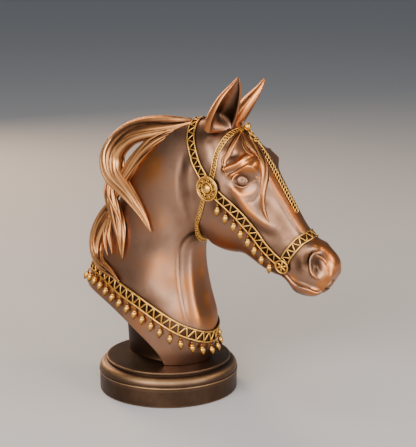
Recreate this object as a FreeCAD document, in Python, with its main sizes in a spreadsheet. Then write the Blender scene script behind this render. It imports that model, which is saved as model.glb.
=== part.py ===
"""Horse-head bust on a turned plinth: hollow bronze castings, cast-on locks and a gilt halter and collar.

Row frame: +X the way the horse looks, +Z up, origin at the centre of the felt under the plinth.
All sizes are millimetres. The driving sizes are cells of the spreadsheet "sizes".
"""

import FreeCAD, Part
import math
import os

import Sketcher
from FreeCAD import Placement, Rotation, Vector

doc = FreeCAD.newDocument("horse_bust")

# ---------------------------------------------------------------- driving sizes
SIZES = (
    ("plinth_diameter", 131.2, "widest ring of the turned plinth"),
    ("plinth_top_diameter", 117.0, "flat disc that the bust stands on"),
    ("plinth_band_height", 17.4, "straight band at the foot of the plinth"),
    ("plinth_height", 31.0, "plinth without its felt"),
    ("plinth_lip", 0.6, "how far the bead stands past the band"),
    ("felt_diameter", 116.0, "felt disc let into the underside"),
    ("felt_thickness", 1.5, "thickness of the felt"),
    ("felt_stand", 0.3, "how far the felt stands out of its recess"),
    ("bust_height", 228.0, "plinth top to the top of the poll"),
    ("bust_reach", 259.0, "back tip of the neck to the nose"),
    ("bust_width", 74.0, "widest part of the neck"),
    ("casting_wall", 4.0, "wall of the hollow castings"),
    ("rod_diameter", 8.0, "threaded tie rod"),
    ("rod_clearance", 0.3, "radial clearance of the rod holes"),
    ("nut_flats", 13.0, "hexagon nut across its flats"),
    ("nut_height", 6.5, "nut thickness"),
    ("washer_diameter", 22.0, "washer under the nut"),
    ("washer_thickness", 1.6, "washer thickness"),
    ("pocket_diameter", 28.0, "pocket for the nut under the plinth"),
    ("rod_tail", 2.0, "rod past the nut"),
    ("plate_thickness", 5.0, "plate that closes the underside of the neck"),
    ("plate_recess", 2.5, "how deep the plate sits inside the edge"),
    ("bridge_width", 20.0, "bridge that takes the tie rod"),
    ("bridge_height", 12.0, "bridge thickness"),
    ("bridge_level", 42.0, "bridge underside above the plinth top"),
    ("sleeve_length", 16.0, "sleeve inside the neck and head seam"),
    ("sleeve_wall", 3.0, "sleeve thickness"),
    ("fit_gap", 0.2, "gap of a glued or slipped fit"),
    ("eye_diameter", 13.0, "eyeball cast with the head"),
    ("ear_length", 46.0, "ear from its foot to its tip"),
    ("strap_thickness", 1.6, "straps and collar"),
    ("strap_gap", 0.35, "bond line between a strap and the casting"),
    ("collar_width", 11.5, "pierced breast collar"),
    ("cheek_width", 9.0, "pierced cheek straps"),
    ("crown_width", 8.5, "pierced crown strap"),
    ("nose_width", 9.0, "pierced noseband"),
    ("brow_width", 5.0, "brow band"),
    ("throat_width", 4.6, "throat strap"),
    ("chain_width", 9.0, "face chain at its upper end"),
    ("bar_width", 1.5, "bars left between the piercings"),
    ("rosette_diameter", 23.0, "rosette below the ear"),
    ("rosette_height", 3.2, "rosette rim height"),
    ("boss_diameter", 8.6, "dome in the middle of the rosette"),
    ("nose_rosette_diameter", 13.6, "wheel rosette at the mouth"),
    ("nose_rosette_height", 2.6, "wheel rosette height"),
    ("pin_diameter", 3.0, "locating pins"),
    ("drop_length", 9.5, "hanging drop with its bead"),
    ("drop_diameter", 4.4, "widest part of a drop"),
    ("bead_diameter", 6.5, "bead on the forehead"),
)
sheet = doc.addObject("Spreadsheet::Sheet", "sizes")
for row, (alias, value, meaning) in enumerate(SIZES, start=1):
    sheet.set(f"A{row}", meaning)
    sheet.set(f"B{row}", str(value))
    sheet.setAlias(f"B{row}", alias)
doc.recompute()


def size(alias):
    """The number in a cell of the sheet."""
    return float(sheet.get(alias))


# ---------------------------------------------------------------- the sculpted form
# The neck and head are one family of cross-sections. Each row is a section: its upper end (x, z) on the
# crest or face, its lower end (x, z) on the throat or jaw, half its width, how much wider it is towards the
# upper end, how square it is, and how far its middle bows forward. Rows 0 to 11 are the neck.
SEAM = 11
SECTIONS = (
    (-89, 84, 40, 28, 37, -0.30, 0.03, 0),
    (-86, 97, 45.5, 44, 37, -0.30, 0.03, 0),
    (-81, 112, 48, 58, 36, -0.32, 0.03, 0),
    (-74, 129, 46.5, 73, 34, -0.34, 0.03, 0),
    (-66, 147, 42.5, 88, 31, -0.34, 0.02, 0),
    (-57, 165, 39, 102, 29, -0.32, 0.02, 0),
    (-47, 184, 36.5, 116, 27.5, -0.28, 0.02, 0),
    (-37, 204, 35.5, 128, 27, -0.22, 0.02, 0),
    (-25, 222, 36, 138, 27, -0.14, 0.02, 0),
    (-9, 239, 38, 145, 27.5, -0.08, 0.03, 0),
    (9, 251, 41, 149, 28, -0.02, 0.04, 0),
    (28, 256, 45, 150, 28, 0.05, 0.04, 0),
    (47, 259, 49, 145, 29, 0.10, 0.04, 0),
    (64, 257, 54, 142, 30, 0.12, 0.03, 0),
    (79, 250, 61, 140, 31, 0.10, 0.02, 0),
    (90, 241, 71, 139, 31, 0.06, 0.02, 0),
    (99, 230.5, 80, 139, 29.5, 0.04, 0.02, 0),
    (108, 217.5, 87, 136.5, 27, 0.04, 0.03, 0),
    (117.5, 202.5, 95, 131.5, 24, 0.05, 0.05, 0),
    (127.5, 187, 104, 126.5, 21.5, 0.05, 0.06, 0),
    (137, 172.5, 113, 123, 19.5, 0.04, 0.06, 0),
    (147, 162, 121.5, 119.5, 19, 0.03, 0.06, 0),
    (157, 156, 128.5, 114.5, 19.5, 0.0, 0.05, 0),
    (165, 149.5, 135.5, 110, 19.5, -0.02, 0.04, 0),
    (169.5, 141.5, 143, 107.5, 17.5, -0.03, 0.03, 1),
    (170, 132, 151, 108, 13.5, -0.03, 0.0, 2),
    (166.5, 124.5, 157.5, 112, 7, 0, 0, 0),
)
DRAWN = {"height": 228.0, "reach": 259.0, "width": 74.0, "floor": 31.3}
floor = size("felt_stand") + size("plinth_height")
scale_x = size("bust_reach") / DRAWN["reach"]
scale_y = size("bust_width") / DRAWN["width"]
scale_z = size("bust_height") / DRAWN["height"]


def placed(x, y, z):
    """A point of the drawing at the size that the sheet asks for."""
    return Vector(x * scale_x, y * scale_y, floor + (z - DRAWN["floor"]) * scale_z)


def spline_slopes(values):
    """Second derivatives of the natural cubic spline through values at 0, 1, 2, ..."""
    count = len(values)
    lower, bend = [0.0] * count, [0.0] * count
    for i in range(1, count - 1):
        pivot = 4.0 - lower[i - 1]
        lower[i] = 1.0 / pivot
        bend[i] = (6.0 * (values[i + 1] - 2.0 * values[i] + values[i - 1]) - bend[i - 1]) / pivot
    for i in range(count - 2, -1, -1):
        bend[i] -= lower[i] * bend[i + 1]
    return bend


TRACKS = [[float(row[k]) for row in SECTIONS] for k in range(len(SECTIONS[0]))]
BENDS = [spline_slopes(track) for track in TRACKS]


def section_row(s):
    """The section's numbers at station s, which may lie between two rows or a little outside them."""
    i = min(max(int(math.floor(s)), 0), len(SECTIONS) - 2)
    b = s - i
    a = 1.0 - b
    row = []
    for track, bend in zip(TRACKS, BENDS):
        curve = (bend[i] * (a**3 - a) + bend[i + 1] * (b**3 - b)) / 6.0
        row.append(a * track[i] + b * track[i + 1] + curve)
    return row


def skin_point(s, angle, inward=0.0):
    """A point of the form: angle 0 is the crest or face, 90 the right side and 180 the throat or jaw."""
    tx, tz, bx, bz, half, egg, square, bow = section_row(s)
    length = math.hypot(tx - bx, tz - bz)
    ux, uz = (tx - bx) / length, (tz - bz) / length
    reach = length / 2.0 - inward
    half -= inward
    turn = math.radians(angle)
    cosine, sine = math.cos(turn), math.sin(turn)
    side = -half * sine * (1.0 + egg * cosine + square * math.cos(2.0 * turn))
    out = bow * sine * sine
    x = (tx + bx) / 2.0 + ux * reach * cosine + uz * out
    z = (tz + bz) / 2.0 + uz * reach * cosine - ux * out
    return placed(x, side, z)


def skin_frame(s, angle):
    """Point, outward normal, and the direction along the form at (s, angle)."""
    step = 0.02
    along = skin_point(s + step, angle) - skin_point(s - step, angle)
    around = skin_point(s, angle + 1.0) - skin_point(s, angle - 1.0)
    normal = around.cross(along)
    normal.normalize()
    along.normalize()
    return skin_point(s, angle), normal, along


AROUND = 28  # points in one cross-section
BOND = 0.15  # solder line between a lock or an ear and the casting under it


def smooth_closed(points):
    """A smooth closed curve through the points, with one knot per point."""
    curve = Part.BSplineCurve()
    steps = [float(k) for k in range(len(points) + 1)]
    curve.interpolate(Points=points, PeriodicFlag=True, Parameters=steps)
    return curve


def skin_over(rows):
    """A solid whose side runs smoothly through rows of points and whose two ends are flat."""
    around = [smooth_closed(row) for row in rows]
    columns = list(zip(*[curve.getPoles() for curve in around]))
    steps = [float(k) for k in range(len(rows))]
    along = []
    for column in columns:
        curve = Part.BSplineCurve()
        curve.interpolate(Points=list(column), Parameters=steps)
        along.append(curve)
    poles = [list(row) for row in zip(*[curve.getPoles() for curve in along])]
    surface = Part.BSplineSurface()
    surface.buildFromPolesMultsKnots(
        poles, along[0].getMultiplicities(), around[0].getMultiplicities(),
        along[0].getKnots(), around[0].getKnots(), False, True, 3, 3)
    side = surface.toShape()
    ends = [Part.Face(Part.Wire([edge])) for edge in side.Edges if edge.isClosed() and not edge.isSeam(side)]
    shell = Part.makeShell([side] + ends)
    shell.sewShape()
    solid = Part.makeSolid(shell)
    if solid.Volume < 0:
        solid.reverse()
    return solid


def form_solid(stations, inward=0.0):
    """The form between the first and the last station as one solid, moved in by a wall."""
    rows = []
    for s in stations:
        rows.append([skin_point(s, 360.0 * k / AROUND, inward) for k in range(AROUND)])
    return skin_over(rows)


def merge(shapes):
    """One solid from shapes that overlap or touch."""
    return shapes[0].fuse(list(shapes[1:])).removeSplitter()


def group(shapes):
    """Separate solids kept together as one sub-part."""
    solids = []
    for shape in shapes:
        solids += shape.Solids
    return Part.makeCompound(solids)


def biggest(shape):
    """The largest solid of a shape, without boolean crumbs."""
    return max(shape.Solids, key=lambda solid: solid.Volume)


def mirrored(shape):
    """The same shape on the left side."""
    return shape.mirror(Vector(0, 0, 0), Vector(0, 1, 0))


parts = []


def feature(label, shape):
    """A sub-part whose shape is worked out with Part's own functions."""
    obj = doc.addObject("Part::Feature", label)
    obj.Label = label
    obj.Shape = shape
    obj.Placement = Placement()
    parts.append(obj)
    return obj


def total(*terms):
    """A sum of plain numbers and (factor, alias) pairs, as its value and as a sheet expression."""
    value, words = 0.0, []
    for term in terms:
        if isinstance(term, tuple):
            factor, alias = term
            value += factor * size(alias)
            words.append(f"({factor}) * sizes.{alias}")
        else:
            value += term
            words.append(f"({term})")
    return value, " + ".join(words)


def new_sketch(body, role, label):
    """An empty sketch on one of the body's own origin planes."""
    sketch = body.newObject("Sketcher::SketchObject", label)
    plane = next(item for item in body.Origin.OriginFeatures if item.Role == role)
    sketch.AttachmentSupport = [(plane, "")]
    sketch.MapMode = "FlatFace"
    return sketch


def pin_vertex(sketch, edge, end, name, across, up):
    """Ties one vertex of a sketch to its sheet expressions."""
    for kind, axis, (value, words) in (("DistanceX", -2, across), ("DistanceY", -1, up)):
        if abs(value) < 1e-9:
            sketch.addConstraint(Sketcher.Constraint("PointOnObject", edge, end, axis))
            continue
        if value > 0:
            number = sketch.addConstraint(Sketcher.Constraint(kind, -1, 1, edge, end, value))
        else:
            number = sketch.addConstraint(Sketcher.Constraint(kind, edge, end, -1, 1, -value))
            words = f"-({words})"
        sketch.renameConstraint(number, name + kind[-1])
        sketch.setExpression(f"Constraints.{name}{kind[-1]}", words)


def outline(sketch, corners, arcs=()):
    """A closed outline through corners; arcs maps an edge to its radius, centred inside the outline."""
    arcs = dict(arcs)
    ends = []
    count = len(corners)
    for i in range(count):
        p = Vector(corners[i][0][0], corners[i][1][0], 0)
        q = Vector(corners[(i + 1) % count][0][0], corners[(i + 1) % count][1][0], 0)
        if i in arcs:
            radius, words = arcs[i]
            chord = q - p
            left = Vector(-chord.y, chord.x, 0).normalize()
            centre = (p + q) * 0.5 + left * math.sqrt(radius**2 - (chord.Length / 2.0)**2)
            start, stop = (math.atan2(v.y - centre.y, v.x - centre.x) for v in (p, q))
            circle = Part.Circle(centre, Vector(0, 0, 1), radius)
            sketch.addGeometry(Part.ArcOfCircle(circle, start, stop), False)
            number = sketch.addConstraint(Sketcher.Constraint("Radius", i, radius))
            sketch.renameConstraint(number, f"radius{i}")
            sketch.setExpression(f"Constraints.radius{i}", words)
        else:
            sketch.addGeometry(Part.LineSegment(p, q), False)
        ends.append((1, 2))
    for i in range(count):
        sketch.addConstraint(Sketcher.Constraint("Coincident", i, 2, (i + 1) % count, 1))
    for i, (across, up) in enumerate(corners):
        pin_vertex(sketch, i, 1, f"corner{i}", across, up)


def new_body(label, placement=None):
    """A PartDesign body that is one sub-part."""
    body = doc.addObject("PartDesign::Body", label)
    body.Label = label
    body.Placement = placement or Placement()
    parts.append(body)
    return body


def turned(label, corners, arcs=(), placement=None):
    """A body turned from a half outline of (radius, height) corners."""
    body = new_body(label, placement)
    sketch = new_sketch(body, "XZ_Plane", label + "_outline")
    outline(sketch, corners, arcs)
    turn = body.newObject("PartDesign::Revolution", label + "_turned")
    turn.Profile = sketch
    turn.ReferenceAxis = (sketch, ["V_Axis"])
    turn.Angle = 360.0
    body.Tip = turn
    return body


# ---------------------------------------------------------------- plinth, felt and the tie rod
rod_r = total((0.5, "rod_diameter"))
hole_r = total((0.5, "rod_diameter"), (1.0, "rod_clearance"))
under = total((1.0, "felt_stand"))
top = total((1.0, "felt_stand"), (1.0, "plinth_height"))
felt_top = total((1.0, "felt_thickness"))
rod_foot = total((1.0, "felt_thickness"), 0.5)
nut_foot = total((1.0, "felt_thickness"), 0.5, (1.0, "rod_tail"))
washer_foot = total((1.0, "felt_thickness"), 0.5, (1.0, "rod_tail"), (1.0, "nut_height"))
pocket_top = total((1.0, "felt_thickness"), 0.5, (1.0, "rod_tail"), (1.0, "nut_height"),
                   (1.0, "washer_thickness"))
pocket_r = total((0.5, "pocket_diameter"))
recess_r = total((0.5, "felt_diameter"), (1.0, "fit_gap"))
band_r = total((0.5, "plinth_diameter"), (-1.0, "plinth_lip"))
wide_r = total((0.5, "plinth_diameter"))


def band(lift):
    """A height above the straight band."""
    return total((1.0, "felt_stand"), (1.0, "plinth_band_height"), lift)


def disc(inset, drop):
    """A corner near the top disc."""
    return (total((0.5, "plinth_top_diameter"), inset),
            total((1.0, "felt_stand"), (1.0, "plinth_height"), -drop))


turned("plinth", [
    (hole_r, pocket_top), (pocket_r, pocket_top), (pocket_r, felt_top), (recess_r, felt_top),
    (recess_r, under), (total((0.5, "plinth_diameter"), (-1.0, "plinth_lip"), -0.8), under),
    (band_r, total((1.0, "felt_stand"), 0.8)), (band_r, band(0.0)), (wide_r, band(0.5)),
    (wide_r, band(1.2)), (total((0.5, "plinth_diameter"), -0.8), band(1.8)),
    disc(1.2, 4.2), disc(-0.8, 3.0), disc(0.0, 2.0), disc(0.0, 0.5), disc(-0.5, 0.0), (hole_r, top),
], {10: total(6.4)})

centre = total(0.0)
turned("felt_pad", [(centre, centre), (total((0.5, "felt_diameter")), centre),
                    (total((0.5, "felt_diameter")), felt_top), (centre, felt_top)])

washer_r = total((0.5, "washer_diameter"))
turned("tie_rod_washer", [(hole_r, washer_foot), (washer_r, washer_foot), (washer_r, pocket_top),
                          (hole_r, pocket_top)])

rod_top = total((1.0, "felt_stand"), (1.0, "plinth_height"), (1.0, "bridge_level"),
                (1.0, "bridge_height"), 1.0)
bevel_r = total((0.5, "rod_diameter"), -1.0)
turned("tie_rod", [
    (centre, rod_foot), (bevel_r, rod_foot), (rod_r, total((1.0, "felt_thickness"), 1.5)),
    (rod_r, total((1.0, "felt_stand"), (1.0, "plinth_height"), (1.0, "bridge_level"),
                  (1.0, "bridge_height"))),
    (bevel_r, rod_top), (centre, rod_top)])

nut = new_body("tie_rod_nut")
nut_sketch = new_sketch(nut, "XY_Plane", "tie_rod_nut_outline")
nut_sketch.setExpression(".AttachmentOffset.Base.z", nut_foot[1])
corner = 1.0 / math.sqrt(3.0)
outline(nut_sketch, [
    (total((round(corner * math.cos(math.radians(60 * k + 30)), 6), "nut_flats")),
     total((round(corner * math.sin(math.radians(60 * k + 30)), 6), "nut_flats"))) for k in range(6)])
bore = nut_sketch.addGeometry(Part.Circle(Vector(0, 0, 0), Vector(0, 0, 1), rod_r[0]), False)
nut_sketch.addConstraint(Sketcher.Constraint("Coincident", bore, 3, -1, 1))
number = nut_sketch.addConstraint(Sketcher.Constraint("Radius", bore, rod_r[0]))
nut_sketch.renameConstraint(number, "bore")
nut_sketch.setExpression("Constraints.bore", rod_r[1])
nut_pad = nut.newObject("PartDesign::Pad", "tie_rod_nut_pad")
nut_pad.Profile = nut_sketch
nut_pad.Length = size("nut_height")
nut_pad.setExpression("Length", "sizes.nut_height")
nut.Tip = nut_pad

# ---------------------------------------------------------------- the open underside of the neck
# The neck is cut away along this curve, from the tip at the back of the crest to the plinth.
UNDERSIDE = ((-108, 96.5), (-90, 93), (-60, 85), (-32, 73), (-8, 58), (6, 46), (13, 36), (15, 28))


def below(offset):
    """Everything under the cut, or under a surface held above the cut by an offset."""
    curve = Part.BSplineCurve()
    curve.interpolate([placed(x, 0, z) for x, z in UNDERSIDE])
    first, last = curve.FirstParameter, curve.LastParameter
    moved = []
    for k in range(15):
        u = first + (last - first) * k / 14.0
        along = curve.tangent(u)[0]
        moved.append(curve.value(u) + Vector(-along.z, 0, along.x) * offset)
    edge = Part.BSplineCurve()
    edge.interpolate(moved)
    far = [moved[-1], Vector(moved[-1].x, 0, -60), Vector(moved[0].x, 0, -60), moved[0]]
    region = Part.Face(Part.Wire([edge.toShape()] + Part.makePolygon(far).Edges))
    deep = region.extrude(Vector(0, 240, 0))
    deep.translate(Vector(0, -120, 0))
    slab = Part.makeBox(240, 240, 60 + floor + offset, Vector(moved[-1].x - 3, -120, -60))
    return deep.fuse(slab).removeSplitter()


wall = size("casting_wall")
lining = wall + size("fit_gap")
neck_stations = list(range(SEAM + 1))
head_stations = list(range(SEAM, len(SECTIONS)))
neck_outer = form_solid(neck_stations)
neck_inner = form_solid([-0.7] + neck_stations + [SEAM + 0.4], wall)
neck_lining = form_solid([-0.7] + neck_stations + [SEAM + 0.4], lining)
cut_away = below(0.0)
plate_low = below(size("plate_recess"))
plate_high = below(size("plate_recess") + size("plate_thickness"))
rod_bore = Part.makeCylinder(hole_r[0], 260, Vector(0, 0, 0))
rod_thread = Part.makeCylinder(rod_r[0], 260, Vector(0, 0, 0))

neck_shell = neck_outer.cut(neck_inner).cut(cut_away)
feature("neck_casting", biggest(neck_shell))
plate = plate_high.cut(plate_low).common(neck_lining).cut(rod_bore)
feature("underside_plate", biggest(plate))

bridge_box = Part.makeBox(size("bridge_width"), 120, size("bridge_height"),
                          Vector(-size("bridge_width") / 2.0, -60, floor + size("bridge_level")))
feature("anchor_bridge", biggest(bridge_box.common(neck_lining).cut(rod_thread)))

# The post: (height, back edge, front edge), wider towards the front.
POST = ((31.3, -42.4, 30), (45, -43, 31), (58, -44, 34), (68, -49, 36), (80, -55, 38), (94, -62, 38))
POST_SIDE = ((0, 0), (2, 8), (18, 16.5), (38, 25.5), (56, 28.5), (68, 21))


def post_row(z, back, front):
    """One level outline of the post."""
    reach = (front - back) / 73.0
    near = [placed(back + reach * along, -side, z) for along, side in POST_SIDE]
    far = [placed(back + reach * along, side, z) for along, side in POST_SIDE[:0:-1]]
    return near + [placed(front, 0, z)] + far


post_raw = skin_over([post_row(*row) for row in POST])
post_open = post_raw.common(cut_away)
post_inside = post_raw.common(plate_low).common(neck_lining)
post = biggest(merge([post_open, post_inside]).cut(rod_bore))
feature("support_post", post)

# ---------------------------------------------------------------- head, sleeve and ears
head_outer = form_solid(head_stations)
head_inner = form_solid([SEAM - 0.4, SEAM] + list(range(SEAM + 1, 24)), wall)
extras = []
for side in (1, -1):
    extras.append(Part.makeSphere(size("eye_diameter") / 2.0, placed(90.5, 22.8 * side, 210.5)))
    extras.append(Part.makeSphere(11.5 * scale_z, placed(94, 20.0 * side, 218.5)))
head_full = head_outer.fuse(extras)
nostrils = [Part.makeSphere(5.2, placed(159.5, 19.5 * side, 138)) for side in (1, -1)]
head_shell = head_full.cut([head_inner] + nostrils)

sleeve_reach = size("sleeve_length") / 2.0 / 19.0
sleeve_stations = [SEAM - sleeve_reach, SEAM - sleeve_reach / 2, SEAM, SEAM + sleeve_reach / 2,
                   SEAM + sleeve_reach]
sleeve_gap = lining + 0.15
sleeve = form_solid(sleeve_stations, sleeve_gap)
sleeve = sleeve.cut(form_solid([SEAM - 2 * sleeve_reach] + sleeve_stations + [SEAM + 2 * sleeve_reach],
                               sleeve_gap + size("sleeve_wall")))
feature("seam_sleeve", biggest(sleeve))

# The right ear: (height along the ear, x, y, z, half width, half depth). The cup opens forward and out.
EAR = ((0.00, 61, -17, 250, 13.5, 10.5), (0.18, 64.5, -18, 259, 14.2, 11.0),
       (0.40, 69.5, -19.3, 269, 13.6, 9.6), (0.62, 74.6, -20.4, 279, 11.2, 7.4),
       (0.82, 79.8, -21, 288.5, 7.0, 4.5), (1.00, 83, -21.3, 298.2, 1.3, 1.1))
EAR_OPEN = Vector(0.88, -0.47, 0.05).normalize()
EAR_NOD, EAR_SINK = 6.5, 1.5  # degrees and millimetres
ear_foot = placed(*EAR[0][1:4])
ear_scale = size("ear_length") / 46.0


def ear_row(row, shift, trim, deepen):
    """One ellipse round the ear; shifted and trimmed it becomes the hollow of the cup."""
    share, x, y, z, half, depth = row
    middle = ear_foot + (placed(x, y, z) - ear_foot) * ear_scale
    leg = Vector(0.37, -0.06, 0.93).normalize()
    across = EAR_OPEN.cross(leg).normalize()
    front = leg.cross(across).normalize()
    middle = middle + front * (depth * shift)
    half = max(half - trim, 0.5)
    points = []
    for k in range(16):
        turn = 2.0 * math.pi * k / 16.0
        points.append(middle + across * (half * math.cos(turn)) + front * (depth * deepen * math.sin(turn)))
    return points


def between(low, high, share):
    """A row part of the way between two rows."""
    return tuple(a + (b - a) * share for a, b in zip(low, high))


ear_outer = skin_over([ear_row(row, 0.0, 0.0, 1.0) for row in EAR])
cup_rows = [between(EAR[0], EAR[1], 0.85)] + list(EAR[1:-1]) + [between(EAR[-2], EAR[-1], 0.8)]
cup = skin_over([ear_row(row, 0.42, 1.7, 1.15) for row in cup_rows])
head_swell = form_solid(head_stations, -BOND)
ear_blank = ear_outer.cut(cup)
# ---------------------------------------------------------------- straps that lie on the form
def follow(path, count):
    """Evenly spread (station, angle) pairs along a smooth path."""
    curve = Part.BSplineCurve()
    curve.interpolate([Vector(s, angle / 20.0, 0) for s, angle in path])
    fine = []
    for k in range(201):
        u = curve.FirstParameter + (curve.LastParameter - curve.FirstParameter) * k / 200.0
        point = curve.value(u)
        fine.append((point.x, point.y * 20.0))
    places = [skin_point(s, angle) for s, angle in fine]
    runs = [0.0]
    for a, b in zip(places, places[1:]):
        runs.append(runs[-1] + (b - a).Length)
    spread, i = [], 0
    for k in range(count):
        goal = runs[-1] * k / (count - 1)
        while i < 199 and runs[i + 1] < goal:
            i += 1
        share = (goal - runs[i]) / (runs[i + 1] - runs[i])
        spread.append(tuple(a + (b - a) * share for a, b in zip(fine[i], fine[i + 1])))
    return spread, runs[-1]


def strap_frames(path, count):
    """Point, outward normal, run direction and cross direction at even steps along a path."""
    spread, length = follow(path, count)
    rows = [skin_frame(s, angle) for s, angle in spread]
    frames = []
    for k, (point, normal, _) in enumerate(rows):
        run = rows[min(k + 1, count - 1)][0] - rows[max(k - 1, 0)][0]
        run = run - normal * run.dot(normal)
        on_midline = abs(point.y) < 0.05
        if on_midline and abs(spread[k][1] % 180.0) < 0.5 and abs(run.y) > abs(run.x) * 0.5:
            normal = Vector(normal.x, 0, normal.z).normalize()
            run = Vector(0, run.y, 0)
        run.normalize()
        frames.append((point, normal, run, normal.cross(run)))
    return frames, length


def ribbon(path, width, count, windows, low=None):
    """A strap of even width on the skin, pierced by a row of triangles."""
    frames, length = strap_frames(path, count)
    gap = size("strap_gap") if low is None else low
    thick = size("strap_thickness")
    wires = []
    for point, normal, _, cross in frames:
        corners = [point + normal * lift + cross * side for lift, side in
                   ((gap, -width / 2), (gap, width / 2), (gap + thick, width / 2), (gap + thick, -width / 2))]
        wires.append(Part.makePolygon(corners + corners[:1]))
    strap = Part.makeLoft(wires, True, True)
    if not windows:
        return strap
    bar = size("bar_width")
    reach = width / 2.0 - bar
    holes = []
    fine, length = strap_frames(path, 2 * windows + 3)
    step = length / (2 * windows + 2)
    for k in range(1, 2 * windows + 2):
        point, normal, run, cross = fine[k]
        up = 1.0 if k % 2 else -1.0
        half = step - bar * 0.75
        base = point - normal * 3.0
        corners = [base + run * half - cross * (reach * up), base - run * half - cross * (reach * up),
                   base + cross * (reach * up)]
        face = Part.Face(Part.makePolygon(corners + corners[:1]))
        holes.append(face.extrude(normal * 9.0))
    return strap.cut(holes)


def hub(s, angle):
    """Placement of a disc that lies over the straps at (station, angle)."""
    point, normal, _ = skin_frame(s, angle)
    lift = size("strap_gap") + size("strap_thickness") + size("fit_gap")
    return Placement(point + normal * lift, Rotation(Vector(0, 0, 1), normal))


def flipped(placement):
    """The same placement on the left side, for a turned part."""
    base = placement.Base
    axis = placement.Rotation.multVec(Vector(0, 0, 1))
    return Placement(Vector(base.x, -base.y, base.z),
                     Rotation(Vector(0, 0, 1), Vector(axis.x, -axis.y, axis.z)))


CHEEK_HUB = (13.05, 88.0)
MOUTH_HUB = (20.55, 110.0)
COLLAR = ((1.80, 0), (1.95, 14), (2.20, 35), (2.30, 56), (2.30, 72), (2.38, 90), (2.36, 106), (2.25, 121),
          (2.12, 136), (2.02, 152), (1.90, 168), (1.86, 180))
CROWN = ((11.30, 0), (11.30, 16), (11.30, 32), (11.40, 48), (11.70, 65), (12.20, 77), CHEEK_HUB)
CHEEK = (CHEEK_HUB, (14.25, 91), (15.20, 94.5), (16.15, 98), (17.10, 101), (18.05, 104.5), (19.0, 107.7),
         MOUTH_HUB)
NOSE = (MOUTH_HUB, (20.50, 96), (20.50, 84), (20.60, 62), (20.70, 40), (20.85, 20), (20.90, 0))
BROW = (CHEEK_HUB, (13.22, 72), (13.22, 60), (13.35, 44), (13.60, 26), (13.85, 10), (13.90, 0))
THROAT = (CHEEK_HUB, (12.55, 102), (12.10, 115), (11.30, 130), (10.60, 142), (9.90, 155), (9.55, 168),
          (9.50, 180))
CHAIN = ((14.45, 0), (15.5, 0), (16.5, 0), (17.5, 0), (18.5, 0), (19.3, 0))

cheek_hub = hub(*CHEEK_HUB)
mouth_hub = hub(*MOUTH_HUB)


def clearance(placement, radius):
    """A cylinder through the straps around a hub."""
    tool = Part.makeCylinder(radius, 16, Vector(0, 0, -8), Vector(0, 0, 1))
    tool.Placement = placement
    return tool


cheek_room = clearance(cheek_hub, size("rosette_diameter") / 2.0 - 2.5)
mouth_room = clearance(mouth_hub, size("nose_rosette_diameter") / 2.0 - 1.8)


def both_sides(half):
    """A strap that runs over the middle line, from its right half."""
    return merge([half, mirrored(half)])


collar = both_sides(ribbon(COLLAR, size("collar_width"), 40, 13))
feature("breast_collar", collar)
crown = ribbon(CROWN, size("crown_width"), 22, 5).cut(cheek_room)
feature("crown_strap", both_sides(biggest(crown)))
cheek = biggest(ribbon(CHEEK, size("cheek_width"), 24, 8).cut([cheek_room, mouth_room]))
feature("cheek_strap_right", cheek)
feature("cheek_strap_left", mirrored(cheek))
nose = biggest(ribbon(NOSE, size("nose_width"), 22, 4).cut(mouth_room))
feature("noseband", both_sides(nose))
brow = biggest(ribbon(BROW, size("brow_width"), 22, 0).cut(cheek_room))
feature("brow_band", both_sides(brow))

# The ears stand behind the brow band: a plane along its rear edge trims their feet. The left ear
# is the mirror image of the right, nodded forward about its foot and set a little lower.
brow_room = ribbon(BROW, size("brow_width") + 0.8, 22, 0, 0.05)
low, high = skin_frame(*BROW[3]), skin_frame(*BROW[5])
along = (high[0] - low[0]).normalize()
ahead = along.cross(low[1] + high[1]).normalize()
ahead = ahead if ahead.x > 0 else ahead * -1.0
start = (low[0] + high[0]) * 0.5 - ahead * (size("brow_width") / 2.0 + 1.6)
block = Part.makeBox(60, 160, 160, Vector(0, -80, -80))
block.Placement = FreeCAD.Placement(start, FreeCAD.Rotation(ahead, along, along.cross(ahead), "XZY"))
feature("right_ear", biggest(ear_blank.cut(block).cut(head_swell)))
nodded = mirrored(ear_blank)
nodded.rotate(Vector(ear_foot.x, -ear_foot.y, ear_foot.z), Vector(0, 1, 0), EAR_NOD)
nodded.translate(Vector(0, 0, -EAR_SINK))
feature("left_ear", biggest(nodded.cut(mirrored(block)).cut(head_swell)))
throat = biggest(ribbon(THROAT, size("throat_width"), 26, 0).cut(cheek_room))
feature("throat_strap", both_sides(throat))

chain = ribbon(CHAIN, size("chain_width"), 20, 0)
chain_frames, _ = strap_frames(CHAIN, 17)
links = []
for point, normal, run, cross in chain_frames[1:-1]:
    for side in (-1, 1):
        eye = point + cross * (side * size("chain_width") * 0.25) - normal * 3.0
        links.append(Part.makeCylinder(size("chain_width") * 0.13, 9, eye, normal))
feature("face_chain", chain.cut(links))

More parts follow.
